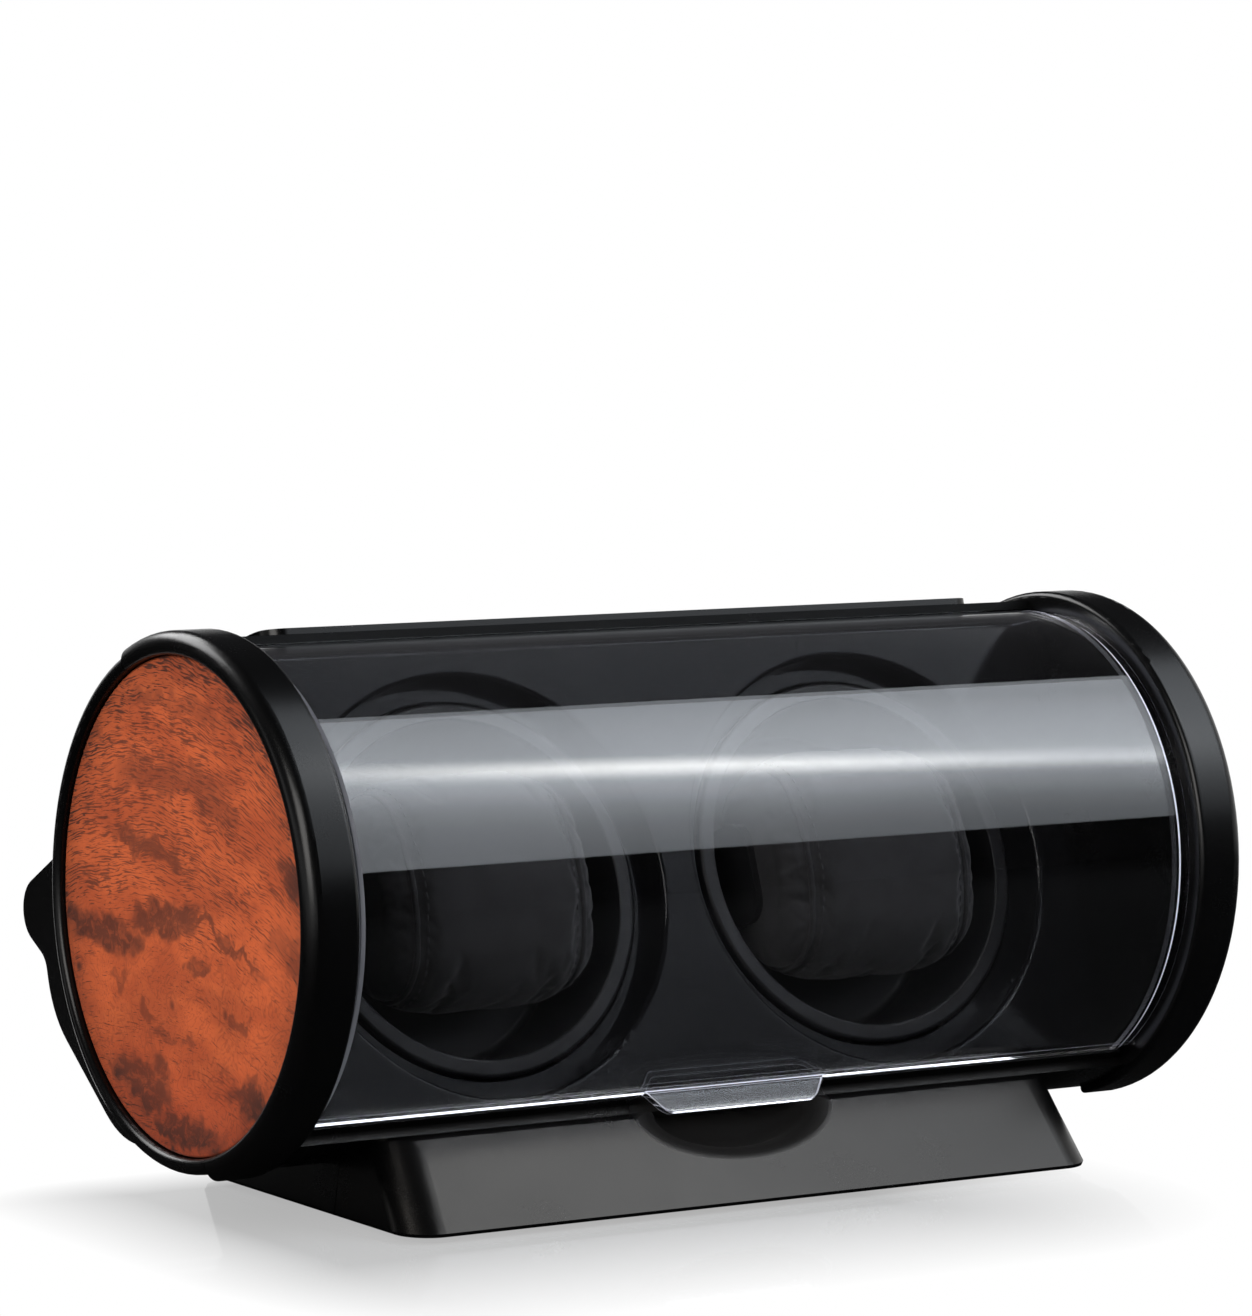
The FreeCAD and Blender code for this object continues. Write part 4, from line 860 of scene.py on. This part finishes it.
class WINDER_OT_knobs(bpy.types.Operator):
    """Model the fluted mode knobs"""
    bl_idname = "winder.knobs"
    bl_label = "Mode knobs"

    def execute(self, context):
        sizes, = settings("sizes")
        material = plastic("knob_black", (0.014, 0.014, 0.015), 0.38, 0.35, 1800.0, 0.01)
        dress(material, *pairs("mode_knob"))
        tree = flute_tree(material)
        core = sizes.knob_radius - RIB_RADIUS
        top = KNOB_GAP + sizes.knob_height
        for side in SIDES:
            joint = JOINTS[side + "_knob_turn"]
            turns = [math.radians(90 - KNOB_ARC * index) for index in range(90 // KNOB_ARC + 1)]
            arc = [(core - KNOB_ROUND + KNOB_ROUND * math.sin(turn), top - KNOB_ROUND + KNOB_ROUND * math.cos(turn))
                   for turn in turns]
            foot = [(0, -STEM_DEEP), (STEM_RADIUS, -STEM_DEEP), (STEM_RADIUS, KNOB_GAP), (core, KNOB_GAP)]
            cap = turned_mesh("knob_cap", [*foot, *arc, (0, top)], KNOB_STEPS)
            half, tip = KNOB_POINTER / 2, core - KNOB_ROUND
            bar = [(-half, 0, 0), (half, 0, 0), (half, tip, KNOB_POINTER / 2.1), (-half, tip, KNOB_POINTER / 2.1)]
            pointer = prism_mesh("pointer", rounded_outline(bar), lambda p, height: Vector((p.x, p.y, height)),
                                 top - KNOB_ROUND, top + half)
            shape = bmesh.new()
            shape.from_mesh(cap)
            shape.from_mesh(pointer)
            shape.to_mesh(cap)
            shape.free()
            bpy.data.meshes.remove(pointer)
            made = run_tree(loose_object(side + "_knob_holder", cap), tree, {
                "Flutes": sizes.flutes, "Ring Radius": core, "Rib Radius": RIB_RADIUS,
                "Rib Height": sizes.knob_height - 2 * KNOB_ROUND, "Foot": RIB_FOOT},
                side + "_fluted_knob")
            lean = math.atan2(joint["axis"][1], joint["axis"][2])
            made.transform(Matrix.Translation(Vector(joint["pos_m"])) @ Matrix.Rotation(-lean, 4, "X"))
            new_piece(side + "_fluted_knob", smooth(made), material, joint["child"],
                      [side + "_mode_knob"])
        return {"FINISHED"}


# The cloth is simulated enlarged, on a grid, and no point of it may move further than the cap.
CLOTH = {"quality": 6, "mass": 0.3, "tension_stiffness": 18, "compression_stiffness": 12, "bending_stiffness": 0.4,
         "use_pressure": True, "uniform_pressure_force": 4.0, "shrink_min": -0.05, "vertex_group_mass": "seam"}
SIM_SCALE = 8.0
SIM_VOXEL = 0.0085
SIM_FRAMES = 20
SIM_CAP = 0.0016
SIM_SHRINK = 0.965
# The seams' place, as a share of a cushion's half length, and the band of cloth that is held there.
SEAM_AT = 0.80
SEAM_HELD = 0.9 * SIM_VOXEL
STITCH_IN = 2.3 * MM
THREAD = 0.24 * MM
STITCH_LIFT = 0.3 * THREAD
LOOP_STEPS = 120
ALL_SMOOTH = 180.0
RAY_START = 0.1


def cushion_frame(side):
    """Centre of a cushion, and the turn from its own axes to the box's."""
    low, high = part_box(side + "_watch_cushion")
    turn = Matrix((Vector((1, 0, 0)), LEAN_UP, LEAN_OUT)).transposed().to_4x4()
    return Matrix.Translation((low + high) / 2) @ turn


def cushion_start(side):
    """A cushion's solid in its own axes, merged, drawn in a little and enlarged for the cloth."""
    mesh = NODES[side + "_watch_cushion"].data.copy()
    shape = bmesh.new()
    shape.from_mesh(mesh)
    bmesh.ops.remove_doubles(shape, verts=shape.verts, dist=1e-6)
    shape.to_mesh(mesh)
    shape.free()
    mesh.transform(cushion_frame(side).inverted())
    mesh.transform(Matrix.Scale(SIM_SCALE * SIM_SHRINK, 4))
    mesh.materials.clear()
    return mesh


def plump(side):
    """Cushion body by cloth simulation: pressed out from inside, held along its end seams."""
    holder = loose_object("cushion_holder", cushion_start(side))
    grid = holder.modifiers.new("grid", "REMESH")
    grid.mode = "VOXEL"
    grid.voxel_size = SIM_VOXEL
    mesh = settled(holder, "cushion_grid")
    half = max(vertex.co.x for vertex in mesh.vertices)
    rest = [vertex.co.copy() for vertex in mesh.vertices]
    holder = loose_object("cushion_holder", mesh)
    held = holder.vertex_groups.new(name="seam")
    held.add([v.index for v in mesh.vertices if abs(abs(v.co.x) - SEAM_AT * half) < SEAM_HELD], 1.0, "ADD")
    cloth = holder.modifiers.new("cloth", "CLOTH")
    for setting, value in CLOTH.items():
        setattr(cloth.settings, setting, value)
    cloth.settings.effector_weights.gravity = 0
    cloth.point_cache.frame_start = 1
    cloth.point_cache.frame_end = SIM_FRAMES
    for moment in range(1, SIM_FRAMES + 1):
        bpy.context.scene.frame_set(moment)
    mesh = settled(holder, "cushion_puffed")
    bpy.context.scene.frame_set(1)
    for vertex, start in zip(mesh.vertices, rest):
        shift = vertex.co - start
        if shift.length > SIM_CAP * SIM_SCALE:
            vertex.co = start + shift.normalized() * SIM_CAP * SIM_SCALE
    holder = loose_object("cushion_holder", mesh)
    finer = holder.modifiers.new("finer", "SUBSURF")
    finer.levels = 1
    finer.render_levels = 1
    mesh = settled(holder, "cushion_body")
    mesh.transform(Matrix.Scale(1 / SIM_SCALE, 4))
    return smooth(mesh, ALL_SMOOTH)


def seam_loop(mesh, x, lift):
    """Closed loop on a cushion's surface, round its own X axis."""
    tree = BVHTree.FromPolygons([v.co for v in mesh.vertices], [p.vertices for p in mesh.polygons])
    loop = []
    for part in range(LOOP_STEPS):
        turn = 2 * math.pi * part / LOOP_STEPS
        out = Vector((0, math.cos(turn), math.sin(turn)))
        hit, normal = tree.ray_cast(Vector((x, 0, 0)) + out * RAY_START, -out)[:2]
        if hit is None:
            raise RuntimeError("the cushion has no surface at its seam")
        loop.append(hit + normal * lift)
    return loop


def tube_mesh(name, loop, radius, sides=10):
    """Closed tube round a loop of points."""
    points = []
    faces = []
    count = len(loop)
    for index, here in enumerate(loop):
        along = (loop[(index + 1) % count] - loop[index - 1]).normalized()
        first = along.cross(Vector((1, 0, 0))).normalized()
        second = along.cross(first)
        for part in range(sides):
            turn = 2 * math.pi * part / sides
            points.append(here + (first * math.cos(turn) + second * math.sin(turn)) * radius)
    for index in range(count):
        following = (index + 1) % count
        faces += [[index * sides + i, index * sides + (i + 1) % sides, following * sides + (i + 1) % sides,
                   following * sides + i] for i in range(sides)]
    return mesh_from(points, faces, name)


def curve_object(name, loops):
    data = bpy.data.curves.new(name, "CURVE")
    data.dimensions = "3D"
    for loop in loops:
        spline = data.splines.new("POLY")
        spline.points.add(len(loop) - 1)
        for point, here in zip(spline.points, loop):
            point.co = (*here, 1)
        spline.use_cyclic_u = True
    return loose_object(name, data)


def joined(name, meshes):
    shape = bmesh.new()
    for mesh in meshes:
        shape.from_mesh(mesh)
        bpy.data.meshes.remove(mesh)
    made = bpy.data.meshes.new(name)
    shape.to_mesh(made)
    shape.free()
    return made


class WINDER_OT_cushions(bpy.types.Operator):
    """Model the watch cushions, with piping and stitches along their end seams"""
    bl_idname = "winder.cushions"
    bl_label = "Cushions"

    def execute(self, context):
        finishes, sizes = settings("finishes", "sizes")
        cloth = self.nap("cushion_nap", finishes.cloth)
        thread = plastic("thread", finishes.thread, 0.7, 0.2, 5000.0, 0.02)
        body = plump("left")
        half = max(vertex.co.x for vertex in body.vertices)
        tree = stitch_tree(thread)
        for side in SIDES:
            mesh = body.copy()
            if side == "right":
                mesh.transform(Matrix.Scale(-1, 4, (1, 0, 0)))
                mesh.flip_normals()
            place = cushion_frame(side)
            loops = [seam_loop(mesh, sign * half * SEAM_AT, 0) for sign in (-1, 1)]
            piping = joined(side + "_piping", [tube_mesh("piping", loop, sizes.piping) for loop in loops])
            rows = [seam_loop(mesh, sign * (half * SEAM_AT - STITCH_IN), STITCH_LIFT) for sign in (-1, 1)]
            curve = curve_object(side + "_seams", rows)
            stitches = run_tree(curve, tree, {"Spacing": sizes.stitch_gap, "Length": sizes.stitch, "Thread": THREAD},
                                side + "_stitches")
            for shape in (mesh, piping, stitches):
                shape.transform(place)
            pad = new_piece(side + "_cushion", mesh, cloth, side + "_drum", [side + "_watch_cushion"])
            new_piece(side + "_cushion_piping", smooth(piping, ALL_SMOOTH), cloth, side + "_drum")
            new_piece(side + "_cushion_stitches", smooth(stitches, ALL_SMOOTH), thread, side + "_drum")
        dress(cloth, *pairs("watch_cushion"))
        return {"FINISHED"}

    def nap(self, name, tint):
        """Brushed cloth: short nap with a soft sheen."""
        material, tree, shader, place = new_material(name)
        fibre = noise(tree, place, 5200.0, 3.0, 0.7)
        stroke = noise(tree, place, 160.0, 3.0, 0.6)
        blend = calc(tree, "MULTIPLY_ADD", stroke, 0.7, calc(tree, "MULTIPLY", fibre, 0.3))
        base = mix(tree, step(tree, blend, 0.35, 0.65), rgba(tint, 0.65), rgba(tint, 1.35))
        plug(tree, shader, {"Base Color": base, "Roughness": step(tree, fibre, 0.3, 0.7, 0.75, 0.95),
                            "Normal": bump(tree, fibre, 0.02), "Specular IOR Level": 0.2, "Sheen Weight": 0.08,
                            "Sheen Roughness": 0.45})
        return material


IMAGE = Vector((1252, 1316))
CENTRE_PIXEL = Vector((652.73, 872.10))
SENSOR = 36.0
VIEW_END = 50
# Lamps: place, target and size.
SIDE_LIGHT = ((-0.95, -0.62, 0.55), (-0.125, 0, 0.07), (0.7, 0.7))
SIDE_TINT = (1, 0.98, 0.95)
BACK_LIGHT = ((-0.35, 0.9, 0.75), (0, 0, 0.07), (0.8, 0.5))
# In reflections the world turns dark upwards and white to the right, over these parts of a direction's Z and X.
CEILING = (0.03, 0.03, 0.032, 1)
CEILING_BAND = (0.10, 0.22)
WALL_BAND = (0.72, 0.86)
# The floor shows its gloss between these corners and fades to white beyond them, at a rate for each side.
FLOOR_HALF = 6.0
SHADE_LOW = (-0.117, -0.069, 0)
SHADE_LOW_FADE = (24.0, 13.2, 0)
SHADE_HIGH = (0.028, 0.027, 0)
SHADE_HIGH_FADE = (12.6, 40.0, 0)
# Its paint and its mirror, the share of it that is lit, and the least share that is white.
FLOOR_PAINT = {"Base Color": (0.86, 0.87, 0.88, 1), "Roughness": 0.06, "Specular IOR Level": 0.5}
MIRROR_IOR = 1.75
MIRROR_GAIN = 3.3
MIRROR_ROUGHNESS = 0.05
LIT_SHARE = 0.15
WHITE_SHARE = 0.045
# Dark cards outside the picture; two of them lie just above the floor.
CARD_PAINT = {"Base Color": (0.01, 0.01, 0.01, 1), "Roughness": 0.9, "Specular IOR Level": 0.1}
CARD_LIFT = 0.0008
CARDS = {"card_low": [(-0.9, -1.9, CARD_LIFT), (2.4, -1.9, CARD_LIFT), (2.4, 0.1, CARD_LIFT), (-0.9, 0.1, CARD_LIFT)],
         "card_front": [(2.4, -1.9, 0), (-0.7, -1.9, 0), (-0.7, -1.9, 1.5), (2.4, -1.9, 1.5)],
         "card_left": [(-1.8, 0.1, CARD_LIFT), (-0.14, 0.1, CARD_LIFT), (-0.14, 1.6, CARD_LIFT),
                       (-1.8, 1.6, CARD_LIFT)],
         "card_behind": [(-1.9, 1.6, 0), (-0.35, 1.6, 0), (-0.35, 1.6, 0.9), (-1.9, 1.6, 0.9)]}
# The softbox's lower and upper edge from the cylinder's axis, its width, and its place to the right.
SOFTBOX_LOW = Vector((0, -0.665, 0.209))
SOFTBOX_HIGH = Vector((0, 0.02, 0.64))
SOFTBOX_WIDE = 0.62
SOFTBOX_RIGHT = 0.41
SOFTBOX_GAIN = 2.2
SOFTBOX_TINT = (0.94, 1, 1.07)
# Its bands slant: a place in them is a part of the height and of the width. Each stop has a place and a light.
SLANT_UP = 1.105
SLANT_SIDE = 0.38
SLANT_START = -0.232
SOFTBOX_STOPS = ((0.0, 0.12), (0.14, 0.14), (0.25, 0.19), (0.36, 0.29), (0.43, 0.38), (0.475, 0.42), (0.52, 0.40),
                 (0.58, 0.34), (0.72, 0.28), (1.0, 0.17))
# The bright line's place in the bands, how fast it falls off, and its colour.
LINE_AT = 0.475
LINE_FALL = -15.0
LINE_TINT = (1, 0.99, 0.94, 1)


def area_lamp(name, size, power):
    """Rectangular lamp in the scene."""
    data = bpy.data.lights.new(name, "AREA")
    data.shape = "RECTANGLE"
    data.size, data.size_y = size
    data.energy = power
    return loose_object(name, data)


def soft_lamp(name, place, target, size, power, tint=(1, 1, 1)):
    """Rectangular lamp that looks at a target."""
    lamp = area_lamp(name, size, power)
    lamp.data.color = tint
    lamp.location = place
    lamp.rotation_euler = (Vector(target) - Vector(place)).to_track_quat("-Z", "Y").to_euler()


def sheet(name, corners, material):
    """Flat sheet with four corners."""
    mesh = bpy.data.meshes.new(name)
    mesh.from_pydata(corners, [], [(0, 1, 2, 3)])
    mesh.materials.append(material)
    return loose_object(name, mesh)


class WINDER_OT_stage(bpy.types.Operator):
    """Set up the camera, the floor and the light"""
    bl_idname = "winder.stage"
    bl_label = "Stage"

    def execute(self, context):
        stage, = settings("stage")
        self.camera(stage)
        self.world(stage)
        self.floor()
        self.softbox(stage)
        self.flags()
        soft_lamp("side_light", *SIDE_LIGHT, stage.side_light, SIDE_TINT)
        soft_lamp("back_light", *BACK_LIGHT, stage.back_light)
        context.scene.view_settings.view_transform = "Standard"
        return {"FINISHED"}

    def camera(self, stage):
        """Camera at the photograph's angle; the cylinder's middle falls on its pixel."""
        turn, rise, roll = [math.radians(value) for value in (stage.azimuth, stage.elevation, stage.roll)]
        right = Vector((math.cos(turn), -math.sin(turn), 0))
        ahead = Vector((math.sin(turn) * math.cos(rise), math.cos(turn) * math.cos(rise), -math.sin(rise)))
        up = right.cross(ahead)
        right, up = right * math.cos(roll) - up * math.sin(roll), right * math.sin(roll) + up * math.cos(roll)
        pixels = stage.lens / SENSOR * max(IMAGE)
        off = (CENTRE_PIXEL - IMAGE / 2) / pixels * stage.distance
        data = bpy.data.cameras.new("camera")
        data.lens = stage.lens
        data.sensor_width = SENSOR
        data.clip_end = VIEW_END
        eye = loose_object("camera", data)
        place = AXIS - right * off.x + up * off.y - ahead * stage.distance
        eye.matrix_world = Matrix.Translation(place) @ Matrix((right, up, -ahead)).transposed().to_4x4()
        bpy.context.scene.camera = eye

    def seen(self, tree):
        """1 for camera, glossy and transmission rays."""
        rays = wire(tree, "ShaderNodeLightPath").outputs
        direct = calc(tree, "MAXIMUM", rays["Is Camera Ray"], rays["Is Glossy Ray"])
        return calc(tree, "MAXIMUM", direct, rays["Is Transmission Ray"])

    def world(self, stage):
        """White to the eye, with a dark ceiling and a white wall on the right in reflections, and an even fill."""
        world = bpy.data.worlds.new("studio")
        world.use_nodes = True
        tree = world.node_tree
        way = split(tree, wire(tree, "ShaderNodeTexCoord").outputs["Generated"])
        camera = wire(tree, "ShaderNodeLightPath").outputs["Is Camera Ray"]
        pale = calc(tree, "MAXIMUM", camera, step(tree, way["X"], *WALL_BAND))
        dark = calc(tree, "SUBTRACT", step(tree, way["Z"], *CEILING_BAND), pale, clamp=True)
        shown = wire(tree, "ShaderNodeBackground", {"Color": mix(tree, dark, WHITE, CEILING)}).outputs[0]
        lit = wire(tree, "ShaderNodeBackground", {"Color": WHITE, "Strength": stage.fill}).outputs[0]
        show(tree, mix_shaders(tree, self.seen(tree), lit, shown), "World Output")
        bpy.context.scene.world = world

    def floor(self):
        """Floor that is glossy and keeps its shadow near the part, and glows white to the eye further off."""
        material, tree, shader, place = new_material("pale_floor")
        plug(tree, shader, FLOOR_PAINT)
        glow = wire(tree, "ShaderNodeEmission", {"Color": WHITE, "Strength": 1.0}).outputs[0]
        sides = []
        for first, second, fade in ((SHADE_LOW, place, SHADE_LOW_FADE), (place, SHADE_HIGH, SHADE_HIGH_FADE)):
            past = vec(tree, "MAXIMUM", vec(tree, "SUBTRACT", first, second), (0, 0, 0))
            sides.append(vec(tree, "MULTIPLY", past, fade))
        away = vec(tree, "LENGTH", vec(tree, "ADD", *sides))
        edge_on = wire(tree, "ShaderNodeFresnel", {"IOR": MIRROR_IOR}).outputs[0]
        sheen = calc(tree, "MULTIPLY", calc(tree, "MULTIPLY", edge_on, edge_on), MIRROR_GAIN, clamp=True)
        mirror = wire(tree, "ShaderNodeBsdfGlossy", {"Color": WHITE, "Roughness": MIRROR_ROUGHNESS}).outputs[0]
        near = mix_shaders(tree, LIT_SHARE, mix_shaders(tree, sheen, glow, mirror), shader.outputs[0])
        far = calc(tree, "ADD", away, WHITE_SHARE, clamp=True)
        shown = mix_shaders(tree, far, near, glow)
        show(tree, mix_shaders(tree, self.seen(tree), shader.outputs[0], shown))
        floor = sheet("floor", [(-FLOOR_HALF, -FLOOR_HALF, 0), (FLOOR_HALF, -FLOOR_HALF, 0),
                                (FLOOR_HALF, FLOOR_HALF, 0), (-FLOOR_HALF, FLOOR_HALF, 0)], material)

    def flags(self):
        """Dark cards outside the picture, seen in reflections only, which keep the lid dark below the softbox."""
        material, tree, shader = new_material("dark_card")[:3]
        plug(tree, shader, CARD_PAINT)
        behind = wire(tree, "ShaderNodeNewGeometry").outputs["Backfacing"]
        clear = wire(tree, "ShaderNodeBsdfTransparent").outputs[0]
        show(tree, mix_shaders(tree, behind, shader.outputs[0], clear))
        for name, corners in CARDS.items():
            card = sheet(name, corners, material)
            card.visible_camera = False
            card.visible_diffuse = False
            card.visible_shadow = False

    def softbox(self, stage):
        """Long softbox over the lid: a hard upper edge, a warm bright line and a fade to the front."""
        low, high = AXIS + SOFTBOX_LOW, AXIS + SOFTBOX_HIGH
        run = high - low
        lamp = area_lamp("softbox", (SOFTBOX_WIDE, run.length), stage.softbox)
        lamp.data.use_nodes = True
        tree = lamp.data.node_tree
        spot = split(tree, wire(tree, "ShaderNodeNewGeometry").outputs["Parametric"])
        side, rise = spot["X"], spot["Y"]
        start = calc(tree, "MULTIPLY_ADD", side, SLANT_SIDE, SLANT_START)
        slant = calc(tree, "MULTIPLY_ADD", rise, SLANT_UP, start)
        bands = wire(tree, "ShaderNodeValToRGB", {0: slant})
        ends = bands.color_ramp.elements
        for index, (at, level) in enumerate(SOFTBOX_STOPS):
            stop = ends[index] if index < 2 else ends.new(at)
            stop.position = at
            stop.color = (*(level * tint for tint in SOFTBOX_TINT), 1)
        low_fade = step(tree, side, 0.25, 0.60, 1.15, 0.78)
        high_fade = step(tree, side, 0.15, 0.55, 0.90, 1.14)
        fade = mix(tree, step(tree, slant, 0.40, 0.48), low_fade, high_fade)
        off_line = calc(tree, "ABSOLUTE", calc(tree, "SUBTRACT", slant, LINE_AT))
        line = calc(tree, "MULTIPLY_ADD", off_line, LINE_FALL, 1.0, clamp=True)
        line = calc(tree, "MULTIPLY", line, step(tree, side, 0.08, 0.28, 0.2, 0.6))
        line = calc(tree, "MULTIPLY", line, step(tree, side, 0.30, 0.60, 1.0, 0.25))
        banded = mix(tree, 1.0, bands.outputs[0], fade, "MULTIPLY")
        lit = mix(tree, 1.0, banded, mix(tree, line, BLACK, LINE_TINT), "ADD")
        plug(tree, tree.nodes["Emission"], {"Color": lit, "Strength": SOFTBOX_GAIN})
        along = Vector((1, 0, 0))
        up = run.normalized()
        turn = Matrix((along, up, along.cross(up))).transposed().to_4x4()
        lamp.matrix_world = Matrix.Translation((low + high) / 2 + along * SOFTBOX_RIGHT) @ turn


class WINDER_PT_panel(bpy.types.Panel):
    """Pieces of the winder box"""
    bl_idname = "WINDER_PT_panel"
    bl_label = "Winder Box"
    bl_space_type = "VIEW_3D"
    bl_region_type = "UI"
    bl_category = "Winder Box"

    def draw(self, context):
        for operator in OPERATORS:
            self.layout.operator(operator.bl_idname)


OPERATORS = (WINDER_OT_housing, WINDER_OT_wood, WINDER_OT_inside, WINDER_OT_drive, WINDER_OT_screws, WINDER_OT_knobs,
             WINDER_OT_cushions, WINDER_OT_lid, WINDER_OT_stage)
GROUPS = {"winder_finishes": WinderFinishes, "winder_sizes": WinderSizes, "winder_stage": WinderStage}
CLASSES = (*GROUPS.values(), *OPERATORS, WINDER_PT_panel)


def register():
    for kind in CLASSES:
        bpy.utils.register_class(kind)
    for name, kind in GROUPS.items():
        setattr(bpy.types.Scene, name, PointerProperty(type=kind))


def unregister():
    for name in GROUPS:
        delattr(bpy.types.Scene, name)
    for kind in reversed(CLASSES):
        bpy.utils.unregister_class(kind)


def main():
    register()
    for operator in OPERATORS:
        package, name = operator.bl_idname.split(".")
        getattr(getattr(bpy.ops, package), name)()


if __name__ == "__main__":
    main()
